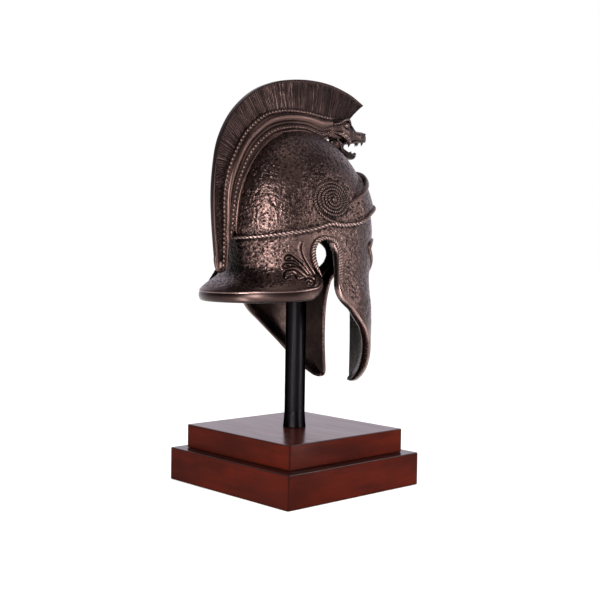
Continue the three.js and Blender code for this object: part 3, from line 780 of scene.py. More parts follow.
SPIRAL_SIZE = (0.0352, 0.0285)
SPIRAL_TURN = math.degrees(SPIRAL_SIZE[0] / FACE_SECTIONS[0].half)
EYE_TO_TIP = ((48, 0.377), (52, 0.34), (50, 0.27), (34, 0.205))


def column(rows: Sequence[NamedTuple], name: str) -> list[float]:
    """One named column of a table."""
    return [getattr(row, name) for row in rows]


@dataclass(frozen=True)
class ShellForm:
    """Outer surface of the helmet as a function of the angle from the front and the height.

    Each level section is a rounded oval, r = ((|sin| / half)^p + (|cos| / reach)^p)^(-1/p). Above the base of
    the bowl it shrinks by (1 - c^f)^(1/f), where c is the share of the climb to the top and f the fullness.
    The forehead plate and the nose ridge are smooth lifts added to r.
    """

    base: float = 0.399
    top: float = 0.558
    fullness: float = 2.06
    rear_fullness: float = 0.19
    squareness: float = 2.08
    ear_blend: Place = (101.0, 115.0)
    plate_lift: float = 0.0072
    plate_fade: Place = (62.0, 80.0)
    plate_low: float = 0.004
    plate_high: float = 0.005
    nose_width: float = 4.2
    nose_fade: Place = (0.44, 0.446)
    turn_step: float = 0.2
    height_step: float = 0.0003

    def belt(self, turn: Array) -> Array:
        """Height of the belt line at angles from the front."""
        return through_rows(column(BELT, "turn"), column(BELT, "z"), turn)

    def plate(self, turn: Array, z: Array) -> Array:
        """How far the forehead plate stands out: its lift, faded below the belt, past its edge and sideways.

        Args:
            turn: Degrees from the front, to either side.
            z: Heights.

        Returns:
            Lifts in metres.
        """
        edge = through_rows(column(FRONTLET_EDGE, "turn"), column(FRONTLET_EDGE, "z"), turn)
        belt = self.belt(turn)
        across = 1.0 - smooth_step(turn, *self.plate_fade)
        above = smooth_step(z, belt - self.plate_low, belt)
        below = 1.0 - smooth_step(z, edge - self.plate_high / 2, edge + self.plate_high / 2)
        return self.plate_lift * across * above * below

    def nose(self, turn: Array, z: Array) -> Array:
        """How far the nose ridge stands out: its lift by height, in a bell curve across the face."""
        fade = 1.0 - smooth_step(z, *self.nose_fade)
        return through_rows(*zip(*NOSE_RIDGE), z) * hump(turn, 0.0, self.nose_width) * fade

    def point(self, turn: Array, z: Array) -> Array:
        """Points of the surface.

        Args:
            turn: Degrees from the front, towards the wearer's right.
            z: Heights.

        Returns:
            A point for each pair.
        """
        turn, z = np.broadcast_arrays(np.asarray(turn, float), np.asarray(z, float))
        angle = np.radians(turn)
        side, ahead = np.abs(np.sin(angle)), np.cos(angle)
        folded = np.abs(np.mod(turn + 180.0, 360.0) - 180.0)
        full = self.fullness - self.rear_fullness * ahead
        climb = np.clip((z - self.base) / (self.top - self.base), 0.0, 1.0)
        shrink = (1.0 - climb**full) ** (1.0 / full)
        sections = (FACE_SECTIONS, NECK_SECTIONS)
        halves = [through_rows(column(rows, "z"), column(rows, "half"), z) for rows in sections]
        reaches = [through_rows(column(rows, "z"), column(rows, "reach"), z) for rows in sections]
        half = halves[0] + (halves[1] - halves[0]) * smooth_step(folded, *self.ear_blend)
        reach = np.where(ahead > 0, *reaches)
        p = self.squareness
        radius = shrink * ((side / half) ** p + (np.abs(ahead) / reach) ** p) ** (-1.0 / p)
        radius = radius + self.plate(folded, z) + self.nose(folded, z)
        return np.stack([-radius * np.sin(angle), -radius * ahead, z], -1)

    def normal(self, turn: Array, z: Array) -> Array:
        """Outward directions, from the differences of nearby points.

        Args:
            turn: Degrees from the front, towards the wearer's right.
            z: Heights.

        Returns:
            A unit vector for each pair, upright at the top of the bowl.
        """
        turn, z = np.broadcast_arrays(np.asarray(turn, float), np.asarray(z, float))
        across = self.point(turn + self.turn_step, z) - self.point(turn - self.turn_step, z)
        along = self.point(turn, z + self.height_step) - self.point(turn, z - self.height_step)
        facing = np.cross(along, across)
        pole = np.linalg.norm(facing, axis=-1, keepdims=True) < POLE_AREA
        return unit(np.where(pole, (0.0, 0.0, 1.0), facing))


def nearest(points: Array, targets: Array) -> tuple[Array, Array]:
    """Nearest of some targets to each point, found in blocks of points.

    Args:
        points: Points to start from.
        targets: Points to reach.

    Returns:
        Distance to the nearest target, and that target's number.
    """
    found = np.empty(len(points), int)
    squares = np.sum(targets**2, axis=1)[None]
    for start in range(0, len(points), SEARCH_BLOCK):
        block = slice(start, start + SEARCH_BLOCK)
        found[block] = np.argmin(squares - 2 * points[block] @ targets.T, axis=1)
    return np.linalg.norm(points - targets[found], axis=1), found


PALMETTE_LINES: tuple[Run, ...] = (
    ((129.2, 0.379), (129.8, 0.3736), (129.3, 0.3679), (127.7, 0.3595), (125.5, 0.3521), (122.7, 0.3441),
     (120.5, 0.338), (119.3, 0.3335)),
    ((128.2, 0.3485), (131, 0.3529), (133.7, 0.3569), (136, 0.36), (138.2, 0.3622), (140.2, 0.3617),
     (141.6, 0.3595), (141.8, 0.3569), (140.8, 0.3547), (138.7, 0.3543), (135.8, 0.3543), (133.5, 0.3521),
     (131.2, 0.3481)),
    ((125, 0.334), (127, 0.3393), (129.2, 0.3437), (131.5, 0.3463), (134.2, 0.3487), (137, 0.3503),
     (140, 0.35), (141.8, 0.349), (142.8, 0.3466), (142.3, 0.3437), (140.5, 0.3432), (138.5, 0.3446),
     (136.3, 0.3457), (134.3, 0.346)),
    ((126.3, 0.3296), (127.2, 0.3318), (129.5, 0.3353), (131.7, 0.3384), (134, 0.3406), (136.8, 0.3412),
     (139.5, 0.3402), (141.3, 0.338), (142, 0.3349), (141.8, 0.3309), (140.7, 0.3276), (139.4, 0.3283),
     (138.4, 0.3309), (136.7, 0.3323)),
    ((135.7, 0.3367), (134.2, 0.334), (133.2, 0.3305), (132.3, 0.3276), (130.8, 0.3266), (128.7, 0.3279),
     (126.3, 0.3296)),
    ((140, 0.3569), (138.7, 0.3573), (137.5, 0.3573)),
    ((140.5, 0.3466), (139.5, 0.3469), (138.5, 0.3469)),
    ((139.2, 0.3252), (138, 0.3249), (136.8, 0.3256)),
    ((127.7, 0.3252), (125.5, 0.3289), (123, 0.3296), (120.9, 0.3277), (120, 0.3243), (120.9, 0.3202),
     (123, 0.3184), (125, 0.32), (125.6, 0.3228), (124.2, 0.325), (122.8, 0.3234)),
)


@dataclass
class Palmette:
    """Fan of leaves and a scroll cut into the neck guard behind the ear, on a smooth ground."""

    finish: Bronze
    form: ShellForm = ShellForm()
    last_turn: float = 148.0
    heights: Place = (0.317, 0.385)
    ear_gap: float = 1.6
    columns: int = 124
    rows: int = 126
    ground: float = 0.00025
    back: float = 0.0025
    sink: float = 0.0007
    reach: Place = (0.0034, 0.0062)
    cut_depth: float = 0.0019
    cut_width: float = 0.0013
    lip_height: float = 0.0003
    lip_away: float = 2.4
    lip_width: float = 1.1
    line_cells: int = 150
    smooth_front: Place = (112.0, 118.0)
    smooth_rear: Place = (127.0, 136.0)
    smooth_top: Place = (0.386, 0.402)
    smooth_reach: Place = (0.0022, 0.0058)
    ground_relief: float = 0.5
    lip_relief: float = 0.12
    cut_relief: float = 0.85

    def hammer(self, turn: Array, z: Array, away: Array) -> Array:
        """Share of hammering at some distance from the lines: none at them or between them and the ear."""
        by_ear = smooth_step(turn, *self.smooth_front) * (1 - smooth_step(turn, *self.smooth_rear))
        return (1 - by_ear * (1 - smooth_step(z, *self.smooth_top))) * smooth_step(away, *self.smooth_reach)

    def line_points(self) -> Array:
        """Points close together on all the lines of the right side."""
        lines = join([even_run(run, self.line_cells) for run in PALMETTE_LINES])
        return self.form.point(lines[:, 0], lines[:, 1])

    def grid(self) -> tuple[Array, Array]:
        """Grid of the ornament's ground, which starts a little behind the ear's edge.

        Returns:
            Degrees from the front, and heights.
        """
        z = np.linspace(*self.heights, self.rows)
        edge = [*EAR_REAR, *NECK_RIM[1:4]]
        first = through_rows([row[1] for row in edge], [row[0] for row in edge], z) + self.ear_gap
        turn = first + np.linspace(0.0, 1.0, self.columns)[:, None] * (self.last_turn - first)
        return turn, np.broadcast_to(z, turn.shape)

    def dress(self, side: Side) -> None:
        """Makes the ground with its lines: each is a bell-shaped cut with a low lip on both sides.

        Away from the lines the ground sinks below the shell's own skin.

        Args:
            side: Side of the helmet.
        """
        turn, z = self.grid()
        place, facing = self.form.point(turn, z), self.form.normal(turn, z)
        away = nearest(place.reshape(-1, 3), self.line_points())[0].reshape(turn.shape)
        inside = np.ones(turn.shape)
        inside[[0, -1]], inside[:, [0, -1]] = 0.0, 0.0
        shown = inside * (1 - smooth_step(away, *self.reach))
        cut = hump(away, 0.0, self.cut_width)
        lip = hump(away, self.lip_away * self.cut_width, self.lip_width * self.cut_width)
        raised = self.ground + self.lip_height * lip - self.cut_depth * cut
        height = shown * raised - (1 - shown) * self.sink
        skin = (place + height[..., None] * facing) * side.flip
        under = (place - self.back * facing) * side.flip
        light = self.ground_relief + self.lip_relief * lip - self.cut_relief * cut
        body = Body()
        body.tube(
            join([skin, under[:, ::-1]], axis=1),
            relief=join([light, 0 * light], axis=1),
            hammer=join([self.hammer(turn, z, away), 0 * light], axis=1),
        )
        body.piece(f"palmette_{side.word}", self.finish, Slot.BRONZE)


def fill_field(top: Array, bottom: Array, left: Array, right: Array) -> Array:
    """Grid between four edge runs: the two blends between facing edges, less the blend of the corners.

    Args:
        top: Upper run, from left to right.
        bottom: Lower run, from left to right.
        left: Left run, downwards.
        right: Right run, downwards.

    Returns:
        Grid of [degrees, height], by row and by column.
    """
    u = np.linspace(0.0, 1.0, len(top))[None, :, None]
    v = np.linspace(0.0, 1.0, len(left))[:, None, None]
    sides = (1 - v) * top[None] + v * bottom[None] + (1 - u) * left[:, None] + u * right[:, None]
    corners = (1 - u) * (1 - v) * top[0] + u * (1 - v) * top[-1]
    corners = corners + (1 - u) * v * bottom[0] + u * v * bottom[-1]
    return sides - corners


@dataclass(frozen=True)
class Cells:
    """Faces of the shell's grid across each field and down it."""

    nose: int = 26
    eye: int = 34
    temple: int = 46
    ear: int = 26
    neck: int = 78
    upper: int = 32
    middle: int = 28
    lower: int = 76
    collar: int = 48
    dome: int = 98


class Skin(NamedTuple):
    """Outer skin of the shell: points, which way they face, whether they lie on the belt, and faces."""

    points: Array
    normals: Array
    on_belt: Array
    quads: Array
    triangles: Array

    @property
    def turn(self) -> Array:
        """Degrees of the points from the front, to either side."""
        return np.degrees(np.arctan2(np.abs(self.points[:, 0]), -self.points[:, 1]))


@dataclass
class HelmetShell:
    """Bowl, face, cheek guards and neck guard: a hammered wall with rounded free edges."""

    finish: Bronze
    form: ShellForm = ShellForm()
    cells: Cells = Cells()
    wall: float = 0.009
    edge_wall: float = 0.014
    slit_wall: float = 0.0075
    slit_reach: float = 0.0355
    ear_wall: float = 0.0085
    ear_front: Place = (101.0, 110.0)
    ear_rear: Place = (124.0, 134.0)
    ear_low: Place = (0.295, 0.35)
    ear_bulge: float = 0.0012
    edge_bulge: float = 0.003
    edge_rows: int = 8
    edge_fade: float = 0.011
    stops: tuple[float, float, float, float] = (21.0, 50.0, 95.0, 121.0)
    smooth_band: Place = (0.004, 0.011)
    dent_size: float = 0.0064
    dent_depth: float = 0.00065
    sway_size: float = 0.026
    sway_depth: float = 0.0006
    hollow_width: float = 0.0145
    hollow_heights: Place = (0.318, 0.342)
    ornament_bed: float = 0.0024
    bed_reach: Place = (0.0026, 0.0046)
    # Painted shade beside the belt rope, between the spiral's coils, at the nape and in the hollow behind the
    # crest.
    nape_turn: Place = (144.0, 158.0)
    nape_shade: float = 0.16
    shadow_reach: float = 0.0044
    shadow_width: float = 0.0026
    belt_shade: float = 0.42
    coil_shade: float = 0.5
    coil_fade: Place = (0.95, 1.16)
    hollow_shade: float = 0.7
    dent_edge: Place = (0.12, 0.62)
    ground_relief: float = 0.5
    dent_relief: float = 0.3
    sway_relief: float = 0.2
    inner_relief: float = -0.05
    rubbed: Place = (0.12, 0.85)
    rubbed_angle: float = 0.9

    def belt_run(self, start: float, end: float, cells: int) -> Array:
        """Even angles along the belt line with their heights."""
        turn = np.linspace(start, end, cells + 1)
        return np.stack([turn, self.form.belt(turn)], -1)

    def fields(self) -> tuple[list[Array], list[Array]]:
        """Grids of [degrees, height] that cover the right half.

        Returns:
            The bowl's grid, and the grids of the face, cheek, ear and neck.
        """
        c, (nose, temple, ear, neck) = self.cells, self.stops
        nose_top, eye_top = self.belt_run(0.0, nose, c.nose), self.belt_run(nose, temple, c.eye)
        temple_top, ear_top = self.belt_run(temple, ear, c.temple), self.belt_run(ear, neck, c.ear)
        neck_top = self.belt_run(neck, 180.0, c.neck)
        inner_brow = even_run([nose_top[-1], EYE_UPPER[0]], c.upper)
        outer_brow = even_run([eye_top[-1], EYE_UPPER[-1]], c.upper)
        nose_side, slit_side = even_run(NOSE_TO_SLIT, c.middle), even_run(SLIT_SIDE, c.lower)
        middle_line = even_run([nose_top[0], SLIT_ARCH[0]], c.upper + c.middle)
        tip = even_run(CHEEK_TIP, c.eye + c.temple)
        front_tip, rear_tip = tip[: c.eye + 1], tip[c.eye:]
        cheek_line = even_run([*EYE_TO_TIP, front_tip[-1]], c.middle + c.lower)
        ear_lead = even_run([temple_top[-1], EAR_ARCH[0]], c.upper)
        neck_lead = even_run([ear_top[-1], EAR_ARCH[-1]], c.upper)
        cheek_edge = even_run([*EAR_FRONT, *CHEEK_REAR], c.middle + c.lower)
        ear_rear = even_run(EAR_REAR, c.collar)
        rear_line = even_run([neck_top[-1], NECK_RIM[-1]], c.upper + c.collar)
        belt = join([nose_top, eye_top[1:], temple_top[1:], ear_top[1:], neck_top[1:]])
        left = 1.0 - np.cos(np.linspace(0.0, np.pi / 2, c.dome + 1))[:, None]
        heights = self.form.top - (self.form.top - belt[None, :, 1]) * left
        dome = np.stack([np.broadcast_to(belt[None, :, 0], heights.shape), heights], -1)
        skirt = [
            fill_field(nose_top, even_run(SLIT_ARCH, c.nose), middle_line, join([inner_brow, nose_side[1:]])),
            fill_field(eye_top, even_run(EYE_UPPER, c.eye), inner_brow, outer_brow),
            fill_field(even_run(EYE_LOWER, c.eye), front_tip, join([nose_side, slit_side[1:]]), cheek_line),
            fill_field(temple_top, rear_tip, join([outer_brow, cheek_line[1:]]),
                       join([ear_lead, cheek_edge[1:]])),
            fill_field(ear_top, even_run(EAR_ARCH, c.ear), ear_lead, neck_lead),
            fill_field(neck_top, even_run(NECK_RIM, c.neck), join([neck_lead, ear_rear[1:]]), rear_line),
        ]
        return [dome], skirt

    def skin(self, grids: list[Array]) -> Skin:
        """Welds the outer skin of both halves.

        Args:
            grids: Grids of [degrees, height] on the right half.

        Returns:
            The skin, with its faces turned outwards.
        """
        points, normals, quads, belts, count = [], [], [], [], 0
        for grid in grids:
            turn, z = grid[..., 0], grid[..., 1]
            place, facing = self.form.point(turn, z), self.form.normal(turn, z)
            ids = np.arange(turn.size).reshape(turn.shape)
            corners = np.stack([ids[:-1, :-1], ids[1:, :-1], ids[1:, 1:], ids[:-1, 1:]], -1).reshape(-1, 4)
            for side in Side:
                points.append((place * side.flip).reshape(-1, 3))
                normals.append((facing * side.flip).reshape(-1, 3))
                quads.append((corners if side is Side.RIGHT else corners[:, ::-1]) + count)
                belts.append((np.abs(z - self.form.belt(turn)) < ON_LINE).ravel())
                count += turn.size
        place, facing = join(points), join(normals)
        keys = np.round(place / WELD).astype(np.int64)
        _, first, same = np.unique(keys, axis=0, return_index=True, return_inverse=True)
        faces = same.ravel()[join(quads)]
        twins = faces == np.roll(faces, -1, axis=1)
        thin = twins.sum(axis=1) == 1
        pick = (twins[thin].argmax(axis=1)[:, None] + np.array([1, 2, 3])) % 4
        squares, triangles = faces[~twins.any(axis=1)], np.take_along_axis(faces[thin], pick, axis=1)
        place, facing = place[first], facing[first]
        a, b, d = (place[squares[:, k]] for k in (0, 1, 3))
        if np.sum(np.cross(b - a, d - a) * facing[squares[:, 0]]) < 0:
            squares, triangles = squares[:, ::-1], triangles[:, ::-1]
        return Skin(place, facing, join(belts)[first], squares, triangles)

    @staticmethod
    def open_edges(skin: Skin) -> Array:
        """Finds the directed edges that only one face has: those whose way back no other face takes.

        Args:
            skin: Outer skin.

        Returns:
            Start and end number of each edge.
        """
        pairs = [faces[:, [k, (k + 1) % faces.shape[1]]] for faces in (skin.quads, skin.triangles)
                 for k in range(faces.shape[1])]
        edges, count = join(pairs), len(skin.points)
        code, back = edges[:, 0] * count + edges[:, 1], edges[:, 1] * count + edges[:, 0]
        return edges[~np.isin(code, back)]

    def near_ear(self, skin: Skin) -> Array:
        """Share from 0 to 1 by which points lie round the ear opening."""
        across = smooth_step(skin.turn, *self.ear_front) * (1 - smooth_step(skin.turn, *self.ear_rear))
        return across * smooth_step(skin.points[:, 2], *self.ear_low)

    def thickness(self, skin: Skin, free: Array) -> tuple[Array, Array]:
        """Depth of the wall, larger near free edges by a bell curve, and hammering, which stops before them.

        Args:
            skin: Outer skin.
            free: Numbers of its points on free edges.

        Returns:
            Depths, and shares of hammering from 0 to 1.
        """
        points = skin.points
        if not len(free):
            return np.full(len(points), self.wall), np.ones(len(points))
        near_slit = (np.abs(points[:, 0]) < self.slit_reach) & (points[:, 1] < 0)
        edge_wall = np.where(near_slit, self.slit_wall, self.edge_wall)
        edge_wall = edge_wall + (self.ear_wall - edge_wall) * self.near_ear(skin)
        away, near = nearest(points, points[free])
        wall = self.wall + (edge_wall[free][near] - self.wall) * np.exp(-((away / self.edge_fade) ** 2))
        return wall, smooth_step(away, *self.smooth_band)

    def bulges(self, skin: Skin, edges: Array) -> Array:
        """How far each point of a free edge bulges, away from the faces beside it; none bulges at the belt.

        Args:
            skin: Outer skin.
            edges: Its open edges.

        Returns:
            A vector for each point of the skin.
        """
        a, b = edges.T
        ahead = unit(np.cross(skin.points[b] - skin.points[a], skin.normals[a]))
        outward = np.zeros_like(skin.points)
        np.add.at(outward, a, ahead)
        np.add.at(outward, b, ahead)
        by_ear = self.edge_bulge + (self.ear_bulge - self.edge_bulge) * self.near_ear(skin)
        return np.where(skin.on_belt, 0.0, by_ear)[:, None] * unit(outward)

    @property
    def edge_angles(self) -> Array:
        """Angles round a free edge, between the outer and the inner skin."""
        return np.linspace(0.0, np.pi, self.edge_rows + 1)[1:-1]

    def edge_strip(self, edges: Array, outer: Array, inner: Array, bulge: Array) -> tuple[Array, Array]:
        """Joins the two skins along the open edges by half an oval.

        It goes from the outer to the inner edge by the cosine, and bulges outwards by the sine.

        Args:
            edges: Open edges of the outer skin.
            outer: Points of the outer skin, which are numbered first.
            inner: Points of the inner skin, which are numbered next.
            bulge: How far each point's edge bulges.

        Returns:
            Rows of new points, numbered after both skins, and the faces.
        """
        rim, count, angle = np.unique(edges), len(outer), self.edge_angles[:, None, None]
        middle, half = (outer + inner)[rim] / 2, (outer - inner)[rim] / 2
        strip = middle + half * np.cos(angle) + bulge[rim] * np.sin(angle)
        place = np.full(count, -1)
        place[rim] = np.arange(len(rim))
        between = [place + 2 * count + row * len(rim) for row in range(len(strip))]
        levels = [np.arange(count), *between, np.arange(count) + count]
        a, b = edges.T
        faces = [np.stack([low[b], low[a], high[a], high[b]], -1) for low, high in zip(levels, levels[1:])]
        return strip, join(faces)

    def painted_shade(self, skin: Skin) -> Array:
        """Painted shade beside the belt rope, between the spiral's coils, at the nape and in the hollow
        beside the crest.

        Args:
            skin: Outer skin.

        Returns:
            Amounts that the relief loses.
        """
        points, turn = skin.points, skin.turn
        z, belt = points[:, 2], self.form.belt(turn)
        coils = np.hypot((turn - SPIRAL_CENTRE.turn) / SPIRAL_TURN, (z - SPIRAL_CENTRE.z) / SPIRAL_SIZE[1])
        by_belt = self.belt_shade * hump(np.abs(z - belt), self.shadow_reach, self.shadow_width)
        in_coils = self.coil_shade * (1 - smooth_step(coils, *self.coil_fade))
        nape = self.nape_shade * smooth_step(turn, *self.nape_turn) * (z < belt)
        behind = (points[:, 1] > 0) * hump(points[:, 0], 0.0, self.hollow_width)
        return by_belt + in_coils + nape + self.hollow_shade * behind * smooth_step(z, *self.hollow_heights)

    def build(self, name: str, grids: list[Array]) -> None:
        """Makes one closed stretch of the shell's wall.

        The inner skin lies a wall's thickness behind the outer one. Dents are round pits about scattered
        centres, the whole skin sways a little, and it sinks under the lines of the palmettes.

        Args:
            name: Name of the piece.
            grids: Grids of [degrees, height] on the right half.
        """
        skin = self.skin(grids)
        points, normals, ornament = skin.points, skin.normals, Palmette(self.finish, self.form)
        edges = self.open_edges(skin)
        rim = np.unique(edges)
        wall, band = self.thickness(skin, rim[~skin.on_belt[rim]])
        folded = np.column_stack([-np.abs(points[:, 0]), points[:, 1:]])
        cut_away, _ = nearest(folded, ornament.line_points())
        band = band * ornament.hammer(skin.turn, points[:, 2], cut_away)
        dent = 1.0 - smooth_step(pit_field(points, self.dent_size), *self.dent_edge)
        sway = soft_field(points, self.sway_size) - 0.5
        shift = band * (self.sway_depth * sway - self.dent_depth * dent)
        shift = shift - self.ornament_bed * (1 - smooth_step(cut_away, *self.bed_reach))
        outer, inner = points + normals * shift[:, None], points - normals * wall[:, None]
        strip, strip_faces = self.edge_strip(edges, outer, inner, self.bulges(skin, edges))
        light = self.ground_relief - self.dent_relief * dent * band + self.sway_relief * sway
        # Painted shade is taken off the relief beside the belt rope, between the coils, at the nape and
        # behind the crest.
        light = light - self.painted_shade(skin)
        least, most = self.rubbed
        edge_light = np.maximum(most * np.cos(self.edge_angles - self.rubbed_angle), least)
        count = len(points)
        body = Body()
        body.add(
            join([outer, inner, strip.reshape(-1, 3)]),
            join([skin.quads, skin.quads[:, ::-1] + count, strip_faces]),
            join([skin.triangles, skin.triangles[:, ::-1] + count]),
            relief=join([light, np.full(count, self.inner_relief), np.repeat(edge_light, len(rim))]),
            hammer=join([band, np.zeros(count + strip.shape[0] * len(rim))]),
        )
        body.piece(name, self.finish, Slot.BRONZE, ("helmet_shell",))

    def dress(self) -> None:
        """Makes the bowl and the skirt of face, cheeks and neck guard, which meet under the belt rope."""
        for name, grids in zip(("helmet_bowl", "helmet_face_and_neck"), self.fields()):
            self.build(name, grids)


@dataclass
class ShellRelief:
    """Ropes, rims and spirals that are cast on the shell.

    The neck's rim and the spirals have the dim finish, and the forehead's moulding the smooth one.
    """

    finish: Bronze
    smooth_finish: Bronze
    dim_finish: Bronze
    form: ShellForm = ShellForm()
    belt_rope: Strand = Strand(0.0035, yarns=3, pitch=0.0195, sides=18)
    ear_rope: Strand = Strand(0.0039, yarns=3, pitch=0.0132, sides=20)
    ear_rope_lift: float = 0.0022
    ear_cells: int = 420
    ear_taper: Spot = (0.3, 70.0, 50.0)
    belt_cells: int = 1200
    edge_cells: int = 110
    frontlet_band: Strand = Strand(0.0042, sides=18, sunk=0.15, flat=0.8)
    frontlet_stand: float = 0.0024
    frontlet_seat: float = 0.0026
    frontlet_front: Place = (36.0, 75.0)
    frontlet_taper: Spot = (0.5, 40.0, 40.0)
    eye_rim: Strand = Strand(0.003, sides=14)
    eye_cells: int = 120
    rim_roll: Strand = Strand(0.0089, sides=32, flat=0.62)
    rim_in: float = 0.0047
    rim_down: float = 0.0078
    rim_taper: Spot = (0.3, 22.0, 22.0)
    spiral_rope: Strand = Strand(0.0024, yarns=2, pitch=0.0078, sides=12)
    spiral_turns: float = 4.8
    spiral_reach: Place = (0.946, 0.1)
    spiral_start: float = -188.1
    spiral_points: int = 1500
    spiral_boss: float = 0.0038
    tail_cells: int = 320
    tail_taper: Place = (0.4, 60.0)
    tail_stout: float = 0.15

    def on_shell(self, run: Array, side: Side) -> tuple[Array, Array]:
        """Points and outward directions of a run on one side of the shell."""
        turn, z = run.T
        return self.form.point(turn, z) * side.flip, self.form.normal(turn, z) * side.flip

    @staticmethod
    def both_sides(run: Array) -> Array:
        """Run from one side carried over the plane of its last point to the other side."""
        other = run[-2::-1] * np.array([-1.0, 1.0]) + np.array([2 * run[-1, 0], 0.0])
        return join([run, other])

    def lay_belt(self) -> None:
        """Lays a twisted rope all round where the bowl ends."""
        turn = np.linspace(0.0, 360.0, self.belt_cells, endpoint=False)
        folded = np.abs(np.mod(turn + 180.0, 360.0) - 180.0)
        run = np.stack([turn, self.form.belt(folded)], -1)
        body = Body()
        self.belt_rope.lay(body, *self.on_shell(run, Side.RIGHT), closed=True)
        body.piece("belt_rope", self.finish, Slot.BRONZE)

    def lay_frontlet(self) -> None:
        """Lays a round moulding along the forehead plate's upper edge, which stands out most at the front."""
        run = self.both_sides(even_run(FRONTLET_EDGE[::-1], self.edge_cells))
        run = run - np.array([0.0, self.frontlet_seat])
        stand = self.frontlet_stand * (1.0 - smooth_step(np.abs(run[:, 0]), *self.frontlet_front))
        path, outs = self.on_shell(run, Side.RIGHT)
        body = Body()
        taper = end_taper(len(run), *self.frontlet_taper)
        self.frontlet_band.lay(body, path + stand[:, None] * outs, outs, taper)
        body.piece("frontlet_moulding", self.smooth_finish, Slot.BRONZE)

    def lay_rim(self) -> None:
        """Lays the rolled rim of the neck guard in the thickness of its edge."""
        run = self.both_sides(even_run(NECK_RIM[1:], self.edge_cells))
        path, _ = self.on_shell(run, Side.RIGHT)
        outs = unit(path * np.array([1.0, 1.0, 0.0]))
        taper = end_taper(len(run), *self.rim_taper)
        shift = np.column_stack([-self.rim_in * outs[:, :2], np.full(len(run), -self.rim_down)])
        body = Body()
        self.rim_roll.lay(body, path + shift * taper[:, None], outs, taper)
        body.piece("neck_rim", self.dim_finish, Slot.BRONZE)

    def lay_ear(self, side: Side) -> None:
        """Lays the rope round the ear opening, thinner at both ends.

        Args:
            side: Side of the helmet.
        """
        arch = even_run([*EAR_FRONT[::-1], *EAR_ARCH[1:], *EAR_REAR[1:]], self.ear_cells)
        path, outs = self.on_shell(arch, side)
        body = Body()
        taper = end_taper(len(arch), *self.ear_taper)
        self.ear_rope.lay(body, path + self.ear_rope_lift * outs, outs, taper)
        body.piece(f"ear_rope_{side.word}", self.finish, Slot.BRONZE)

    def lay_eye(self, side: Side) -> None:
        """Lays the rim round the eye opening.

        Args:
            side: Side of the helmet.
        """
        loop = even_run([*EYE_UPPER, *EYE_LOWER[-2:0:-1], EYE_UPPER[0]], self.eye_cells)[:-1]
        body = Body()
        self.eye_rim.lay(body, *self.on_shell(loop, side), closed=True)
        body.piece(f"eye_rim_{side.word}", self.finish, Slot.BRONZE)

    def spiral_run(self) -> Array:
        """Tail that leaves the belt, then a spiral to its centre: the reach shrinks evenly with the angle.

        Returns:
            Rows of [degrees, height], at about even steps along the spiral.
        """
        share = 1.0 - np.sqrt(np.linspace(1.0, 0.0, self.spiral_points))[1:]
        reach = self.spiral_reach[0] + (self.spiral_reach[1] - self.spiral_reach[0]) * share
        angle = math.radians(self.spiral_start) - 2 * np.pi * self.spiral_turns * share
        turn = SPIRAL_CENTRE.turn - SPIRAL_TURN * reach * np.cos(angle)
        coil = np.stack([turn, SPIRAL_CENTRE.z + SPIRAL_SIZE[1] * reach * np.sin(angle)], -1)
        return join([even_run(SPIRAL_TAIL, self.tail_cells), coil])

    def lay_spiral(self, side: Side) -> None:
        """Lays the temple spiral, whose tail is thin where it leaves the belt and then stout, with its boss.

        Args:
            side: Side of the helmet.
        """
        run = self.spiral_run()
        steps = np.arange(len(run))
        least, thin_steps = self.tail_taper
        grown = least + (1 - least) * smooth_step(steps, 0.0, thin_steps)
        stout = 1.0 + self.tail_stout * (1.0 - smooth_step(steps, self.tail_cells, 2.0 * self.tail_cells))
        body = Body()
        self.spiral_rope.lay(body, *self.on_shell(run, side), grown * stout)
        centre, _ = self.on_shell(np.array([SPIRAL_CENTRE]), side)
        blobs(body, centre, self.spiral_boss * np.eye(3)[None], Ball.BOSS)
        body.piece(f"temple_spiral_{side.word}", self.dim_finish, Slot.BRONZE)

    def dress(self) -> None:
        """Lays every ornament of the shell."""
        self.lay_belt()
        self.lay_frontlet()
        self.lay_rim()
        for side in Side:
            self.lay_ear(side)
            self.lay_eye(side)
            self.lay_spiral(side)


class Station(NamedTuple):
    """Slice of the crest in the middle plane, with the half widths of its holder and of its plume.

    Places are (y, z): under the holder, at the foot of the plume and on the plume's outer edge.
    """

    under: Place
    foot: Place
    edge: Place
    half: float
    plume: float


CREST = (
    Station((-0.064, 0.553), (-0.066, 0.586), (-0.078, 0.636), 0.0115, 0.0045),
    Station((-0.038, 0.54), (-0.042, 0.588), (-0.048, 0.6395), 0.014, 0.005),
    Station((-0.01, 0.548), (-0.012, 0.59), (-0.014, 0.6395), 0.015, 0.0055),
    Station((0.016, 0.549), (0.018, 0.59), (0.022, 0.6355), 0.0155, 0.0055),
    Station((0.04, 0.545), (0.047, 0.587), (0.057, 0.6275), 0.0155, 0.0055),
    Station((0.063, 0.537), (0.075, 0.579), (0.092, 0.6125), 0.0155, 0.0055),
    Station((0.086, 0.521), (0.1, 0.563), (0.122, 0.59), 0.0155, 0.0055),
    Station((0.105, 0.5), (0.121, 0.542), (0.145, 0.5635), 0.015, 0.005),
    Station((0.119, 0.472), (0.138, 0.513), (0.162, 0.529), 0.014, 0.005),
    Station((0.127, 0.445), (0.15, 0.484), (0.17, 0.49), 0.013, 0.0045),
    Station((0.131, 0.421), (0.1555, 0.45), (0.1728, 0.45), 0.0125, 0.0045),
    Station((0.134, 0.4), (0.1545, 0.412), (0.1715, 0.411), 0.0115, 0.004),
    Station((0.1425, 0.376), (0.152, 0.378), (0.168, 0.376), 0.009, 0.004),
    Station((0.1445, 0.341), (0.1515, 0.343), (0.164, 0.343), 0.0075, 0.0035),
)
PLUME_FRONT = (
    Station((0.0, 0.0), (-0.1135, 0.5895), (-0.1435, 0.6135), 0.0, 0.0035),
    Station((0.0, 0.0), (-0.092, 0.5875), (-0.113, 0.627), 0.0, 0.004),
)
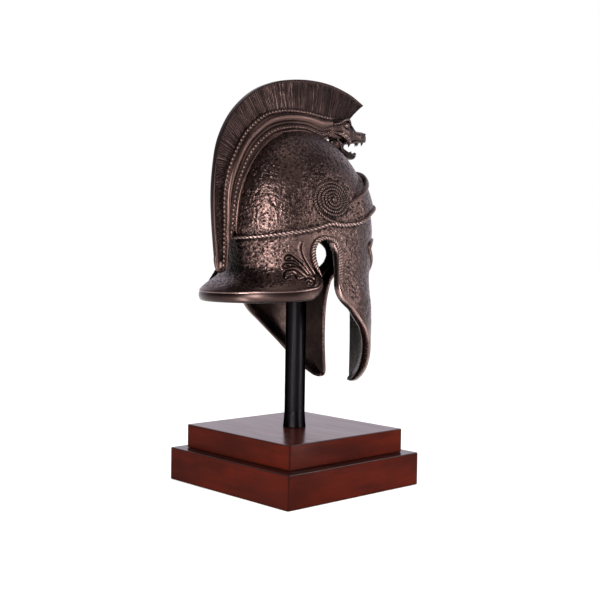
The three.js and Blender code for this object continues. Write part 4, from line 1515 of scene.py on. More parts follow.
HOLDER_FULL = (
    (0.0, 1.0), (0.16, 1.0), (0.21, 0.98), (0.25, 0.9), (0.38, 0.87), (0.44, 0.8), (0.48, 0.77), (0.52, 0.8),
    (0.58, 0.93), (0.66, 1.0), (0.74, 0.98), (0.81, 0.86), (0.85, 0.7), (0.88, 0.62), (0.97, 0.6), (1.0, 0.5),
)
HOLDER_TAIL = (
    (0.0, 0.35), (0.08, 0.7), (0.2, 0.92), (0.35, 1.0), (0.5, 0.95), (0.62, 0.75), (0.7, 0.55), (0.78, 0.5),
    (0.9, 0.5), (0.96, 0.56), (1.0, 0.45),
)
RIM_PROFILE = (
    (0.0, 0.8), (0.08, 0.88), (0.2, 0.96), (0.35, 1.0), (0.5, 1.0), (0.65, 0.96), (0.8, 0.84), (0.9, 0.68),
    (0.96, 0.48), (1.0, 0.15),
)


def both_flanks(right: Array, light: Array) -> tuple[Array, Array]:
    """Rings that go up the right flank and down its mirror image, and their relief."""
    rings = join([right, right[:, ::-1] * Side.LEFT.flip], axis=1)
    return rings, join([light, light[:, ::-1]], axis=1)


@dataclass
class Crest:
    """Moulded holder over the bowl with two rows of beads, and the plume of fine strands in it."""

    finish: Bronze
    bead_finish: Bronze
    plume_finish: Bronze
    form: ShellForm = ShellForm()
    columns: int = 380
    rows: int = 52
    sink: float = 0.0035
    most_sunk: float = 0.9
    climb_samples: int = 160
    tail_stations: Place = (11.0, 12.0)
    front_rise: float = 0.5
    front_stations: Place = (0.0, 0.9)
    holder_relief: float = 0.16
    # Painted highlights along the holder: amount, middle share of its height and width of each band.
    foot_highlight: Spot = (0.3, 0.18, 0.04)
    crown_highlight: Spot = (0.42, 0.68, 0.1)
    upper_bead: float = 0.925
    lower_bead: float = 0.31
    lower_bead_end: float = 0.392
    bead_pitch: float = 0.0066
    bead_size: Spot = (0.0032, 0.0029, 0.0025)
    wrap: Strand = Strand(0.0033, sides=18)
    wrap_path: tuple[Place, ...] = (
        (0.1648, 0.362), (0.163, 0.3485), (0.16, 0.3405), (0.1552, 0.3372), (0.1505, 0.3395), (0.1478, 0.347),
        (0.1472, 0.362),
    )
    wrap_cells: int = 60
    wrap_taper: Place = (0.4, 12.0)
    wrap_fill: Spot = (0.0042, 0.0075, 0.0085)
    wrap_centre: Spot = (0.0, 0.1555, 0.3455)
    flange: Strand = Strand(0.0026, sides=14)
    flange_out: float = 0.0012
    flange_heights: Place = (0.3925, 0.551)
    flange_stations: tuple[int, int] = (4, 12)
    flange_points: int = 90
    flange_taper: Spot = (0.35, 9.0, 9.0)
    plume_columns: int = 1300
    plume_rows: int = 19
    plume_foot: float = -0.08
    plume_thinning: float = 0.18
    strand_pitch: float = 0.0029
    strand_depth: float = 0.0019
    strand_lean: float = 0.75
    lean_stations: Place = (7.0, 11.0)
    strand_root: Place = (0.02, 0.1)
    strand_tip: Place = (0.94, 1.0)
    strand_levels: Place = (0.35, 0.65)
    strand_power: float = 1.1
    strand_light: Place = (0.95, 0.2)
    wander: float = 0.55
    wander_climb: float = 0.28
    wander_pitches: float = 2.2 / 3.0
    drift: float = 1.5
    drift_climb: float = 0.02
    drift_size: float = 0.009
    drift_layer: float = 0.5
    break_levels: Place = (0.55, 0.6)
    breaks: float = 6.0
    rim_top: float = 0.965
    rim_tail: float = 0.64
    rim_stations: Place = (8.0, 13.0)
    rim_tail_stout: float = 0.2
    rim_light: float = 0.4

    def leaves_bowl(self, under: Array, foot: Array) -> Array:
        """Finds where each slice comes out of the bowl, less the sink, by testing samples of its climb.

        Args:
            under: Lower end of each slice, as (y, z).
            foot: Upper end of each slice, as (y, z).

        Returns:
            Shares of the climb from under to foot.
        """
        share = np.linspace(0.0, 1.0, self.climb_samples)
        place = under[:, None] + share[None, :, None] * (foot - under)[:, None]
        turn = np.where(place[..., 0] < 0, 0.0, 180.0)
        reach = np.abs(self.form.point(turn, place[..., 1])[..., 1])
        inside = (np.abs(place[..., 0]) < reach) & (place[..., 1] < self.form.top)
        left = inside.mean(axis=1) - self.sink / np.linalg.norm(foot - under, axis=1)
        return np.clip(left, 0.0, self.most_sunk)

    def holder_width(self, shares: Array, up: Array) -> Array:
        """Half width of the holder, blended along it from its full profile to its tail's.

        Args:
            shares: Places along the crest.
            up: Shares of the holder's height, by place.

        Returns:
            Half widths.
        """
        half = spline_at(np.array(column(CREST, "half"))[:, None], shares)
        tail = smooth_step(shares * (len(CREST) - 1), *self.tail_stations)[:, None]
        full_wide, tail_wide = (through_rows(*zip(*rows), up) for rows in (HOLDER_FULL, HOLDER_TAIL))
        return half * ((1 - tail) * full_wide + tail * tail_wide)

    def dress_holder(self) -> None:
        """Makes the holder's moulding, the bar round the end of its tail, and its beads."""
        feet = np.array(column(CREST, "foot"))
        shares = even_shares(feet, self.columns)
        under, foot = spline_at(column(CREST, "under"), shares), spline_at(feet, shares)
        raised = self.front_rise * (1 - smooth_step(shares * (len(CREST) - 1), *self.front_stations))
        start = np.maximum(self.leaves_bowl(under, foot), raised)[:, None]
        up = start + (1 - start) * np.linspace(0.0, 1.0, self.rows)
        flat = under[:, None] + up[..., None] * (foot - under)[:, None]
        right = join([-self.holder_width(shares, up)[..., None], flat], axis=-1)
        # Painted highlight bands along the moulding's foot and crown, added to its relief.
        lit = [top * hump(up, middle, width) for top, middle, width in (self.foot_highlight, self.crown_highlight)]
        rings, relief = both_flanks(right, self.holder_relief + lit[0] + lit[1])
        body = Body()
        body.tube(rings, relief=relief)
        self.lay_wrap(body)
        self.lay_flange(body)
        body.piece("crest_moulding", self.finish, Slot.CREST, ("crest_holder",))
        beads = Body()
        for level in (self.lower_bead, self.upper_bead):
            self.lay_beads(beads, shares, under, foot, level)
        beads.piece("crest_beads", self.bead_finish, Slot.CREST)

    def lay_wrap(self, body: Body) -> None:
        """Lays a bar round the end of the tail and fills it.

        Args:
            body: Body that gets the bar.
        """
        path = even_curve([(0.0, *place) for place in self.wrap_path], self.wrap_cells)
        outs = np.tile([1.0, 0.0, 0.0], (len(path), 1))
        from_end = np.minimum(np.arange(len(path)), np.arange(len(path))[::-1])
        least, steps = self.wrap_taper
        self.wrap.lay(body, path, outs, np.clip(least + from_end / steps, least, 1.0))
        blobs(body, np.array([self.wrap_centre]), np.diag(self.wrap_fill)[None], Ball.FILL)

    def lay_flange(self, body: Body) -> None:
        """Lays a round moulding on both flanks where the holder meets the back of the bowl.

        Args:
            body: Body that gets the mouldings.
        """
        z = np.linspace(*self.flange_heights, self.flange_points)
        rows = CREST[slice(*self.flange_stations)]
        half = through_rows([row.under[1] for row in rows], column(rows, "half"), z)
        reach = self.form.point(180.0, z)[:, 1]
        turn = 180.0 - np.degrees(np.arcsin((half + self.flange_out) / reach))
        place, facing = self.form.point(turn, z), self.form.normal(turn, z)
        taper = end_taper(len(z), *self.flange_taper)
        for side in Side:
            self.flange.lay(body, place * side.flip, facing * side.flip, taper)

    def lay_beads(self, body: Body, shares: Array, under: Array, foot: Array, level: float) -> None:
        """Lays a row of beads on both flanks; the lower row ends where the holder leaves the bowl.

        Args:
            body: Body that gets the beads.
            shares: Places along the crest.
            under: Lower end of the holder at each place, as (y, z).
            foot: Upper end of the holder at each place, as (y, z).
            level: Share of the holder's height.
        """
        wide = self.holder_width(shares, np.full((len(shares), 1), level))
        line = join([-wide, under + level * (foot - under)], axis=1)
        if level == self.lower_bead:
            line, foot, under = (rows[line[:, 2] > self.lower_bead_end] for rows in (line, foot, under))
        length = path_lengths(line)
        count = int(length[-1] / self.bead_pitch)
        at = (np.arange(count) + 0.5) / count * length[-1]
        centre = np.stack([np.interp(at, length, line[:, k]) for k in range(3)], -1)
        climb = [np.interp(at, length, (foot - under)[:, k]) for k in range(2)]
        rise = unit(np.stack([np.zeros(count), *climb], -1))
        out = np.tile([-1.0, 0.0, 0.0], (count, 1))
        axes = np.stack([np.cross(rise, out), rise, out], 1) * np.array(self.bead_size)[None, :, None]
        for side in Side:
            blobs(body, centre * side.flip, axes * side.flip)

    def plume_heights(self, station: Array) -> tuple[Array, Array]:
        """Shares of the plume's height for the rows of each column: strands below, the smooth rim above.

        Args:
            station: Place of each column among the crest's stations.

        Returns:
            The shares, and the half thickness at each as a factor.
        """
        rim_share, rim_wide = np.array(RIM_PROFILE).T
        tail = smooth_step(station, *self.rim_stations)[:, None]
        rim = self.rim_top + (self.rim_tail - self.rim_top) * tail
        rising = np.linspace(0.0, 1.0, self.plume_rows)[:-1]
        below = self.plume_foot + (rim - self.plume_foot) * rising
        up = join([below, rim + (1 - rim) * rim_share], axis=1)
        lower = np.broadcast_to(1.0 - self.plume_thinning * rising**2, (len(station), len(rising)))
        return up, join([lower, rim_wide * (1.0 + self.rim_tail_stout * tail)], axis=1)

    def strand_ridges(self, along: Array, up: Array) -> Array:
        """Ridges of the strands: |sin| of a phase that wanders, times the strand's own level and its breaks.

        Args:
            along: Length along the plume, less the lean.
            up: Shares of the plume's height.

        Returns:
            Values from 0 in the valleys to about 1.
        """
        def field_at(*axes: Array, size: float) -> Array:
            """Smooth random values on the grid."""
            return soft_field(np.stack(axes, -1).reshape(-1, 3), size).reshape(up.shape)

        climb = self.wander_climb * up * self.strand_pitch
        wander = field_at(along, climb, 0 * up, size=self.wander_pitches * self.strand_pitch)
        drift = field_at(along, self.drift_climb * up, 0 * up + self.drift_layer, size=self.drift_size)
        phase = along / self.strand_pitch + self.wander * wander + self.drift * drift
        strand = np.floor(phase)
        least, more = self.strand_levels
        level = least + more * scatter(np.stack([strand] * 3, -1), STRAND_SALT)
        least, more = self.break_levels
        broken = least + more * field_at(strand, self.breaks * up, 0 * up, size=1.0)
        return np.abs(np.sin(np.pi * phase)) ** self.strand_power * level * broken

    def dress_plume(self) -> None:
        """Makes the plume: thickness by height, less the valleys between strands that wander and lean."""
        rows = PLUME_FRONT + CREST
        feet, edges = np.array(column(rows, "foot")), np.array(column(rows, "edge"))
        shares = even_shares((feet + edges) / 2, self.plume_columns)
        station = shares * (len(rows) - 1) - len(PLUME_FRONT)
        foot, edge = spline_at(feet, shares), spline_at(edges, shares)
        thick = spline_at(np.array(column(rows, "plume"))[:, None], shares)
        up, factor = self.plume_heights(station)
        tall = np.linalg.norm(edge - foot, axis=1)
        lean = self.strand_lean * smooth_step(station, *self.lean_stations) * tall
        ridge = self.strand_ridges(path_lengths((foot + edge) / 2)[:, None] - lean[:, None] * up, up)
        share = np.arange(up.shape[1]) / (self.plume_rows - 1)
        shown = smooth_step(share, *self.strand_root) * (1 - smooth_step(share, *self.strand_tip))
        wide = thick * factor - self.strand_depth * (1 - ridge) * shown
        flat = foot[:, None] + up[..., None] * (edge - foot)[:, None]
        bright, valley = self.strand_light
        light = shown * (bright * ridge - valley) + (1 - shown) * self.rim_light
        rings, relief = both_flanks(join([-wide[..., None], flat], axis=-1), light)
        body = Body()
        body.tube(rings, relief=relief)
        body.piece("crest_plume_strands", self.plume_finish, Slot.PLUME, ("crest_plume",))

    def dress(self) -> None:
        """Makes the holder, its beads and the plume."""
        self.dress_holder()
        self.dress_plume()


class HeadRow(NamedTuple):
    """Upright oval of the beast's head: where it stands, its middle height and its half sizes."""

    y: float
    z: float
    tall: float
    wide: float


class Bump(NamedTuple):
    """Swelling or hollow on both cheeks of the head: its middle, its size and how far it stands out."""

    middle: Spot
    size: float
    lift: float


class Knob(NamedTuple):
    """Round knob on both cheeks of the head: its middle and its radius."""

    middle: Spot
    radius: float


class Fold(NamedTuple):
    """Bar of flesh or bone on both sides of the head: its path, and its thickness along the way."""

    path: tuple[Spot, ...]
    radii: tuple[float, ...]


SKULL = (
    HeadRow(-0.056, 0.566, 0.0135, 0.0088), HeadRow(-0.064, 0.5665, 0.0155, 0.0114),
    HeadRow(-0.072, 0.5675, 0.0168, 0.0126), HeadRow(-0.082, 0.5685, 0.0178, 0.0141),
    HeadRow(-0.093, 0.5688, 0.0186, 0.0152), HeadRow(-0.102, 0.5662, 0.0204, 0.0144),
    HeadRow(-0.108, 0.565, 0.0194, 0.013), HeadRow(-0.1135, 0.5637, 0.0164, 0.0122),
    HeadRow(-0.119, 0.5615, 0.0126, 0.0113), HeadRow(-0.125, 0.5598, 0.0104, 0.0104),
    HeadRow(-0.132, 0.5596, 0.0096, 0.0096), HeadRow(-0.139, 0.56, 0.0091, 0.0084),
    HeadRow(-0.145, 0.5602, 0.0085, 0.0065), HeadRow(-0.1488, 0.5597, 0.007, 0.0046),
    HeadRow(-0.1515, 0.559, 0.0046, 0.0028), HeadRow(-0.1525, 0.5588, 0.0016, 0.001),
)
JAW = (
    HeadRow(-0.078, 0.55, 0.0085, 0.0088), HeadRow(-0.088, 0.539, 0.0075, 0.0095),
    HeadRow(-0.099, 0.5315, 0.006, 0.009), HeadRow(-0.11, 0.5268, 0.005, 0.008),
    HeadRow(-0.119, 0.526, 0.0044, 0.0068), HeadRow(-0.1255, 0.5282, 0.003, 0.0044),
    HeadRow(-0.128, 0.53, 0.0014, 0.002),
)
SKULL_BUMPS = (
    Bump((0.0125, -0.0925, 0.5735), 0.0062, -0.0024), Bump((0.011, -0.103, 0.576), 0.0068, -0.0034),
    Bump((0.0, -0.1, 0.588), 0.006, -0.0012), Bump((0.0058, -0.1455, 0.565), 0.004, 0.0007),
    Bump((0.0098, -0.129, 0.558), 0.006, 0.0012),
)
BROW = Fold(
    ((0.0098, -0.066, 0.5745), (0.0112, -0.079, 0.5775), (0.0112, -0.09, 0.5832), (0.0094, -0.1, 0.5856),
     (0.0076, -0.1062, 0.5835), (0.0066, -0.111, 0.5785)),
    (0.0012, 0.0023, 0.0027, 0.0028, 0.0024, 0.0012),
)
CHEEK = Fold(
    ((0.0098, -0.066, 0.5622), (0.0124, -0.078, 0.5606), (0.0134, -0.088, 0.5573), (0.0128, -0.0965, 0.5525),
     (0.0114, -0.1025, 0.5468)),
    (0.0024, 0.0047, 0.0058, 0.0056, 0.0038),
)
CHEEK_KNOBS = (
    Knob((0.0168, -0.0825, 0.561), 0.0024), Knob((0.0176, -0.0885, 0.5577), 0.0026),
    Knob((0.0172, -0.0942, 0.5542), 0.0026), Knob((0.0158, -0.0992, 0.5498), 0.0024),
)
UPPER_LID = Fold(
    ((0.0131, -0.0885, 0.5735), (0.0124, -0.0935, 0.577), (0.0112, -0.0985, 0.5782),
     (0.0102, -0.1035, 0.5762)),
    (0.001, 0.0014, 0.0014, 0.001),
)
LOWER_LID = Fold(
    ((0.0131, -0.0885, 0.5735), (0.0127, -0.0935, 0.5722), (0.0118, -0.0985, 0.5725),
     (0.0102, -0.1035, 0.5762)),
    (0.001, 0.0013, 0.0013, 0.001),
)
MOUTH_CORNER = Fold(
    ((0.0086, -0.0775, 0.5545), (0.0092, -0.0795, 0.5494), (0.0093, -0.0842, 0.5418),
     (0.009, -0.0875, 0.5355), (0.0088, -0.094, 0.5322)),
    (0.0013, 0.0015, 0.0015, 0.0014, 0.0011),
)
FANGS = (
    Fold(((0.0075, -0.1215, 0.5525), (0.0077, -0.1213, 0.548), (0.0076, -0.1196, 0.5428)),
         (0.003, 0.0023, 0.0003)),
    Fold(((0.005, -0.1385, 0.555), (0.0052, -0.1386, 0.5502), (0.005, -0.1372, 0.5454)),
         (0.0027, 0.0021, 0.0003)),
    Fold(((0.0066, -0.105, 0.5275), (0.0068, -0.109, 0.5318), (0.0066, -0.1135, 0.5342)),
         (0.0026, 0.0019, 0.0003)),
    Fold(((0.0042, -0.1165, 0.5268), (0.0042, -0.1205, 0.531), (0.004, -0.1245, 0.5338)),
         (0.0024, 0.0018, 0.0003)),
)
UPPER_LIP = (
    (0.0118, -0.1025, 0.5472), (0.0109, -0.1085, 0.5482), (0.0104, -0.115, 0.5496), (0.0099, -0.1225, 0.5512),
    (0.0088, -0.131, 0.5518), (0.0072, -0.139, 0.5526), (0.0046, -0.146, 0.5538), (0.0, -0.1492, 0.5545),
)
LOWER_LIP = (
    (0.0088, -0.094, 0.5345), (0.0085, -0.102, 0.5315), (0.0077, -0.11, 0.5298), (0.0064, -0.118, 0.5293),
    (0.0038, -0.1245, 0.531), (0.0, -0.128, 0.5318),
)


@dataclass
class BeastHead:
    """Fanged head at the front end of the crest holder, with an open mouth."""

    finish: Bronze
    dark_finish: Bronze
    rows: int = 110
    sides: int = 56
    chin_fullness: float = 0.72
    wrinkle: float = 0.00012
    wrinkle_pitch: float = 0.0045
    wrinkle_reach: float = 0.009
    muzzle_middle: float = -0.13
    skin_relief: Place = (0.42, 0.3)
    full_lift: float = 0.0015
    relief_limits: Place = (-1.3, 1.0)
    lip: Strand = Strand(0.0019, sides=12)
    fold: Strand = Strand(1.0, sides=14)
    fold_cells: int = 40
    eye: Spot = (0.0106, -0.0962, 0.575)
    eye_size: Spot = (0.0028, 0.0058, 0.0032)
    pupil: Spot = (0.0131, -0.0972, 0.5752)
    pupil_size: float = 0.0011
    nostril: Spot = (0.0044, -0.1462, 0.5655)
    nostril_size: Spot = (0.0018, 0.0022, 0.0019)
    # Dark blob of painted shade that fills the open mouth.
    mouth_shade: Spot = (0.0, -0.084, 0.5455)
    mouth_shade_size: Spot = (0.0098, 0.0165, 0.0118)

    def loft(self, body: Body, rows: Sequence[HeadRow], bumps: Sequence[Bump], wrinkle: float) -> None:
        """Adds ovals along the head, pushed out by bell-shaped bumps and by sine waves on the muzzle.

        Args:
            body: Body that gets the loft.
            rows: Ovals, from the back to the front.
            bumps: Swellings and hollows.
            wrinkle: Height of the waves.
        """
        table = np.asarray(rows)
        y, z, tall, wide = spline_at(table, even_shares(table[:, :2], self.rows)).T[..., None]
        angle = np.linspace(0.0, 2 * np.pi, self.sides, endpoint=False)
        ray = np.stack([np.sin(angle), np.zeros(self.sides), np.cos(angle)], -1)
        power = np.where(np.cos(angle) < 0, self.chin_fullness, 1.0)
        over, up = (np.sign(part(angle)) * np.abs(part(angle)) ** power for part in (np.sin, np.cos))
        rings = np.stack([wide * over, y + 0 * angle, z + tall * up], -1)
        folded = np.stack([np.abs(rings[..., 0]), rings[..., 1], rings[..., 2]], -1)
        lift = np.zeros(rings.shape[:2])
        for bump in bumps:
            lift += bump.lift * np.exp(-np.sum((folded - np.array(bump.middle)) ** 2, axis=-1) / bump.size**2)
        waves = np.sin(2 * np.pi * y / self.wrinkle_pitch) * hump(y, self.muzzle_middle, self.wrinkle_reach)
        lift += wrinkle * waves * np.abs(np.sin(angle))
        plain, share = self.skin_relief
        relief = plain + share * np.clip(lift / self.full_lift, *self.relief_limits)
        body.tube(rings + lift[..., None] * ray, relief=relief)

    def lay_fold(self, body: Body, fold: Fold, side: Side) -> None:
        """Adds a round bar along a path whose thickness changes on the way.

        Args:
            body: Body that gets the bar.
            fold: Path and radii on the right side.
            side: Side of the head.
        """
        share = even_shares(fold.path, self.fold_cells)
        path = spline_at(fold.path, share) * side.flip
        radii = spline_at(np.array(fold.radii)[:, None], share)[:, 0]
        self.fold.lay(body, path, np.tile([side.value, 0.0, 0.0], (len(path), 1)), radii)

    def lay_lip(self, body: Body, points: Sequence[Spot]) -> None:
        """Adds a lip round the mouth along a path from one cheek to the middle, and on to the other cheek."""
        path = even_curve(join([points, points[-2::-1] * Side.LEFT.flip]), 2 * self.fold_cells)
        self.lip.lay(body, path, np.tile([0.0, 0.0, 1.0], (len(path), 1)))

    def dress(self) -> None:
        """Makes the skull, and in the dark finish of painted shade the jaw, the fangs, the pupils, the
        nostrils and a blob that fills the mouth.
        """
        def ball(body: Body, centre: Spot, size: Spot, fineness: Ball) -> None:
            """Adds one oval on this side of the head."""
            blobs(body, np.array([centre]) * side.flip, np.diag(size)[None], fineness)

        skull, jaw, fangs, eyes = Body(), Body(), Body(), Body()
        self.loft(skull, SKULL, SKULL_BUMPS, self.wrinkle)
        self.loft(jaw, JAW, (), 0.0)
        self.lay_lip(skull, UPPER_LIP)
        self.lay_lip(jaw, LOWER_LIP)
        for side in Side:
            for fold in (BROW, CHEEK, UPPER_LID, LOWER_LID, MOUTH_CORNER):
                self.lay_fold(skull, fold, side)
            for fang in FANGS:
                self.lay_fold(fangs, fang, side)
            for knob in CHEEK_KNOBS:
                ball(skull, knob.middle, (knob.radius,) * 3, Ball.KNOB)
            ball(skull, self.eye, self.eye_size, Ball.EYE)
            ball(eyes, self.pupil, (self.pupil_size,) * 3, Ball.KNOB)
            ball(eyes, self.nostril, self.nostril_size, Ball.KNOB)
        blobs(eyes, np.array([self.mouth_shade]), np.diag(self.mouth_shade_size)[None], Ball.FILL)
        skull.piece("beast_skull", self.finish, Slot.CREST)
        # The jaw, the fangs and the blob in the mouth wear the dark finish as painted shade.
        jaw.piece("beast_jaw", self.dark_finish, Slot.CREST)
        fangs.piece("beast_fangs", self.dark_finish, Slot.CREST)
        eyes.piece("beast_eyes_nostrils_mouth_shade", self.dark_finish, Slot.CREST)


class Turn(NamedTuple):
    """Point of a turned profile: radius and height."""

    radius: float
    z: float


@dataclass
class Stand:
    """Two square tiers of polished wood, a turned black post and the collar at its foot."""

    wood: Wood
    lacquer: Lacquer
    lower_half: float = 0.14
    upper_half: float = 0.1212
    lower_span: Place = (0.0, 0.0517)
    upper_span: Place = (0.052, 0.0892)
    corner: float = 0.002
    corner_cells: int = 8
    arris: float = 0.0014
    arris_points: int = 6
    beside: tuple[float, ...] = (0.0035, 0.006, 0.009, 0.013, 0.03, 0.07)
    side_rows: float = 0.45
    dark_edge: float = 0.0024
    edge_stain: float = 0.72
    # Darkens the lower tier's top next to the upper tier.
    step_darkening: float = 0.75
    step_reach: Place = (0.012, 0.004)
    round_sides: int = 72
    post: tuple[Turn, ...] = (
        Turn(0.0163, 0.0895), Turn(0.0163, 0.0898), Turn(0.0163, 0.0905), Turn(0.0163, 0.25),
        Turn(0.0163, 0.4), Turn(0.0163, 0.544), Turn(0.0163, 0.5449), Turn(0.0153, 0.5459),
    )
    collar: tuple[Turn, ...] = (
        Turn(0.0164, 0.0895), Turn(0.0181, 0.0895), Turn(0.0183, 0.0899), Turn(0.0181, 0.0912),
        Turn(0.0177, 0.094), Turn(0.01738, 0.098), Turn(0.01708, 0.102), Turn(0.01684, 0.106),
        Turn(0.01662, 0.11), Turn(0.01645, 0.114), Turn(0.0164, 0.1141),
    )

    def tier_rings(self, half: float, span: Place) -> Array:
        """Rounded squares from the middle of a tier's bottom, up its sides to the middle of its top.

        Args:
            half: Half side of the tier.
            span: Heights of its bottom and top.

        Returns:
            Rings of points; the arrises are quarter rounds, with more rings beside them.
        """
        low, high = span
        curve = np.linspace(0.0, np.pi / 2, self.arris_points)
        near = np.array(self.beside)
        climb = near[near < self.side_rows * (high - low)]
        turn_in, turn_out = self.arris * (1 - np.sin(curve)), self.arris * (1 - np.cos(curve))
        insets = join([near[::-1], turn_in, np.zeros(2 * len(climb)), turn_out, near])
        heights = join([
            np.full(len(near), low), low + turn_out, low + climb,
            high - climb[::-1], high - turn_in, np.full(len(near), high),
        ])
        angle = np.linspace(0.0, np.pi / 2, self.corner_cells + 1)
        bend = half - self.corner * (1 - np.stack([np.cos(angle), np.sin(angle)], -1))
        straight = half - self.corner - near
        ahead = np.stack([straight, np.full(len(near), half)], -1)
        behind = np.stack([np.full(len(near), half), straight[::-1]], -1)
        quarter = join([behind, bend, ahead])
        turns = [quarter @ np.array([[c, d], [-d, c]]) for c, d in ((1, 0), (0, 1), (-1, 0), (0, -1))]
        outline = join(turns) / half
        flat = outline[None] * (half - insets)[:, None, None]
        return join([flat, np.broadcast_to(heights[:, None, None], (*flat.shape[:2], 1))], -1)

    def dress_tier(self, name: str, half: float, span: Place, node: str) -> None:
        """Makes one tier, with its grain level on the sides and straight across the top.

        It is dark along the arrises by a bell curve, and where the lower tier runs in under the upper one.

        Args:
            name: Name of the piece.
            half: Half side of the tier.
            span: Heights of its bottom and top.
            node: CAD node that it replaces.
        """
        rings = self.tier_rings(half, span)
        x, y, z = rings[..., 0], rings[..., 1], rings[..., 2]
        wide, narrow = np.maximum(np.abs(x), np.abs(y)), np.minimum(np.abs(x), np.abs(y))
        from_level = np.minimum(z - span[0], span[1] - z)
        level = from_level < self.arris / 2
        side_grain = np.stack([x + y, z, 0 * z + span[0]], -1)
        top_grain = np.stack([x, y, 0 * z + span[1]], -1)
        from_arris = np.where(level, half - wide, np.minimum(from_level, half - narrow))
        step = smooth_step(wide, *(self.upper_half - away for away in self.step_reach))
        in_step = (half > self.upper_half) * level * step
        edge = np.maximum(self.edge_stain * hump(from_arris, 0.0, self.dark_edge), self.step_darkening * in_step)
        grain = np.where(level[..., None], top_grain, side_grain)
        body = Body()
        body.tube(rings, grain=grain, edge=edge, polish=level.astype(float))
        body.piece(name, self.wood, Slot.WOOD, (node,))

    def turned(self, profile: Sequence[Turn]) -> Array:
        """Rings of a profile turned about the upright axis: x = r cos a, y = r sin a."""
        angle = np.linspace(0.0, 2 * np.pi, self.round_sides, endpoint=False)
        return np.stack([
            np.stack([r * np.cos(angle), r * np.sin(angle), z + 0 * angle], -1) for r, z in profile
        ])

    def dress(self) -> None:
        """Makes the tiers, the post and the collar."""
        self.dress_tier("plinth_lower_tier", self.lower_half, self.lower_span, "plinth_lower")
        self.dress_tier("plinth_upper_tier", self.upper_half, self.upper_span, "plinth_upper")
        post, collar = Body(), Body()
        post.tube(self.turned(self.post))
        post.piece("post_turned", self.lacquer, Slot.LACQUER, ("post",))
        collar.tube(self.turned(self.collar), closed=True)
        collar.piece("post_collar_turned", self.lacquer, Slot.LACQUER, ("post_collar",))


class Lamp(NamedTuple):
    """Soft area light: its name, place, aim, width, height and power."""

    name: str
    place: Spot
    aim: Spot
    wide: float
    tall: float
    power: float


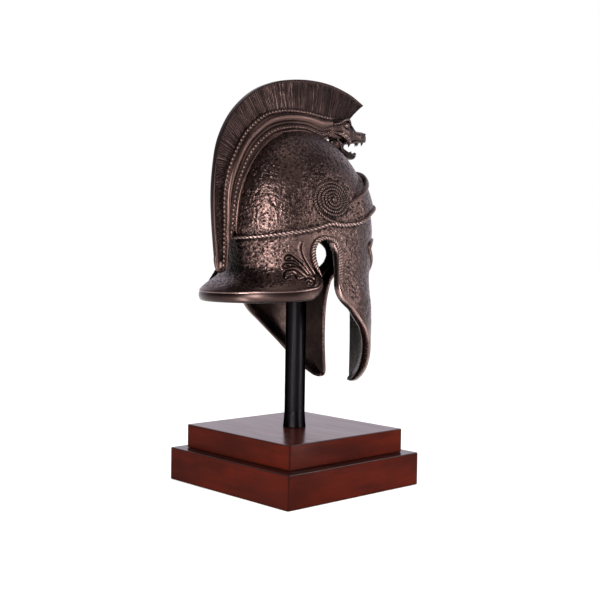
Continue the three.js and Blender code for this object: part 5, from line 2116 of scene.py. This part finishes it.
@dataclass
class Studio:
    """Pale floor, soft lights and the camera at the photograph's angle."""

    floor_half: float = 30.0
    backdrop: float = 1.0
    dome: float = 1.35
    near_gloss: float = 0.075
    far_gloss: float = 0.95
    gloss_span: Place = (0.1, 0.85)
    gloss_tint: Colour = (1.0, 0.92, 1.04)
    camera_place: Spot = (-1.1967, 1.1142, 0.3611)
    yaw: float = 43.1639
    pitch: float = 2.4463
    roll: float = 0.9016
    lens: float = 61.79
    sensor: float = 36.0
    lamps: tuple[Lamp, ...] = (
        Lamp("key_strip", (-0.98, 1.55, 0.68), (0.0, 0.0, 0.45), 0.26, 0.94, 37.0),
        Lamp("top_softbox", (-0.3, 0.0, 1.9), (0.0, 0.0, 0.4), 0.8, 0.8, 2.5),
        Lamp("side_strip", (-1.6, -0.45, 0.6), (0.0, 0.0, 0.4), 0.16, 1.2, 8.0),
        Lamp("front_softbox", (-1.12, -1.3, 0.9), (0.0, -0.05, 0.4), 0.5, 0.7, 6.8),
        Lamp("fill_softbox", (-1.42, 0.49, 1.6), (-0.08, 0.07, 0.47), 0.9, 0.9, 1.6),
        Lamp("low_softbox", (-0.75, 0.78, 0.13), (-0.06, 0.1, 0.37), 0.22, 0.2, 0.6),
        Lamp("post_strip_near", (-0.103, 0.386, 0.13), (0.0, 0.0, 0.13), 0.026, 0.24, 0.75),
        Lamp("post_strip_far", (-0.379, -0.13, 0.13), (0.0, 0.0, 0.13), 0.026, 0.24, 0.75),
    )

    def build_floor(self) -> None:
        """Lays a large level floor under the plinth."""
        half = self.floor_half
        corners = [(-half, -half, 0), (half, -half, 0), (half, half, 0), (-half, half, 0)]
        mesh = bpy.data.meshes.new("studio_floor")
        mesh.from_pydata(corners, [], [(0, 1, 2, 3)])
        floor = bpy.data.objects.new("studio_floor", mesh)
        bpy.context.scene.collection.objects.link(floor)
        mesh.materials.append(Floor("studio_floor").material())

    def build_world(self) -> None:
        """Gives the camera and the floor a white dome, and reflections a dark room with a bright far wall."""
        world = bpy.data.worlds.new("studio_world")
        bpy.context.scene.world = world
        nodes = Nodes(world)
        rays = nodes.add("LightPath").outputs
        yaw = math.radians(self.yaw)
        facing = nodes.add("VectorMath", {
            0: nodes.add("TexCoord").outputs["Generated"], 1: (math.cos(yaw), -math.sin(yaw), 0.0),
        }, operation="DOT_PRODUCT").outputs["Value"]
        gloss = nodes.ramp(facing, self.gloss_span, (self.near_gloss, self.far_gloss))
        light = nodes.add("Mix", {0: rays["Is Camera Ray"], 2: self.dome, 3: self.backdrop}).outputs[0]
        level = nodes.add("Mix", {0: rays["Is Glossy Ray"], 2: light, 3: gloss}).outputs[0]
        tint = nodes.mix(rays["Is Glossy Ray"], WHITE, self.gloss_tint)
        sky = nodes.add("Background", {"Color": tint, "Strength": level})
        nodes.add("OutputWorld", {"Surface": sky.outputs[0]})

    def build_lamps(self) -> None:
        """Hangs the soft lights."""
        for lamp in self.lamps:
            data = bpy.data.lights.new(lamp.name, "AREA")
            data.shape, data.size, data.size_y, data.energy = "RECTANGLE", lamp.wide, lamp.tall, lamp.power
            light = bpy.data.objects.new(lamp.name, data)
            light.location = lamp.place
            facing = Vector(lamp.aim) - Vector(lamp.place)
            light.rotation_euler = facing.to_track_quat("-Z", "Y").to_euler()
            light.visible_camera = False
            bpy.context.scene.collection.objects.link(light)

    def build_camera(self) -> None:
        """Sets the camera where the photograph was taken from."""
        yaw, pitch, roll = (math.radians(angle) for angle in (self.yaw, self.pitch, self.roll))
        ahead = Vector((math.cos(yaw), -math.sin(yaw), 0.0))
        right = Vector((-math.sin(yaw), -math.cos(yaw), 0.0))
        up = Vector((0.0, 0.0, 1.0))
        look = math.cos(pitch) * ahead - math.sin(pitch) * up
        over = math.sin(pitch) * ahead + math.cos(pitch) * up
        turned_right = math.cos(roll) * right + math.sin(roll) * over
        turned_up = math.cos(roll) * over - math.sin(roll) * right
        data = bpy.data.cameras.new("photo_camera")
        data.lens, data.sensor_width = self.lens, self.sensor
        camera = bpy.data.objects.new("photo_camera", data)
        axes = Matrix((turned_right, turned_up, -look)).transposed()
        camera.matrix_world = Matrix.Translation(self.camera_place) @ axes.to_4x4()
        bpy.context.scene.collection.objects.link(camera)
        bpy.context.scene.camera = camera

    def build(self) -> None:
        """Builds the floor, the world, the lights and the camera."""
        self.build_floor()
        self.build_world()
        self.build_lamps()
        self.build_camera()
        bpy.context.scene.view_settings.view_transform = "Standard"


def main() -> None:
    """Builds every sub-assembly in order and notes the sizes."""
    logging.basicConfig(level=logging.INFO, format="%(message)s")
    bronze = Bronze("hammered_bronze")
    rubbed = Bronze("rubbed_bronze", rough=0.3)
    smooth = Bronze("smooth_bronze", body=(0.085, 0.05, 0.043), rough=0.29)
    head = Bronze("head_bronze", body=(0.058, 0.036, 0.032), worn=(0.44, 0.31, 0.285), rough=0.26)
    dim = Bronze("dim_bronze", body=(0.04, 0.025, 0.0225), worn=(0.23, 0.155, 0.14), rough=0.26)
    beads = Bronze("beaded_bronze", body=(0.07, 0.043, 0.038), rough=0.34)
    strands = Bronze("plume_bronze", body=(0.05, 0.031, 0.0285), worn=(0.17, 0.112, 0.1), rough=0.36)
    # Painted shade for the jaw, the fangs, the nostrils, the pupils and the inside of the mouth.
    dark = Bronze("painted_shade_bronze", body=(0.02, 0.0125, 0.0115), worn=(0.075, 0.048, 0.043))
    Stand(Wood("polished_mahogany"), Lacquer("black_lacquer")).dress()
    HelmetShell(bronze).dress()
    ShellRelief(rubbed, smooth, dim).dress()
    for side in Side:
        Palmette(bronze).dress(side)
    Crest(smooth, beads, strands).dress()
    BeastHead(head, dark).dress()
    Studio().build()
    LOG.info("sizes written")


if __name__ == "__main__":
    main()
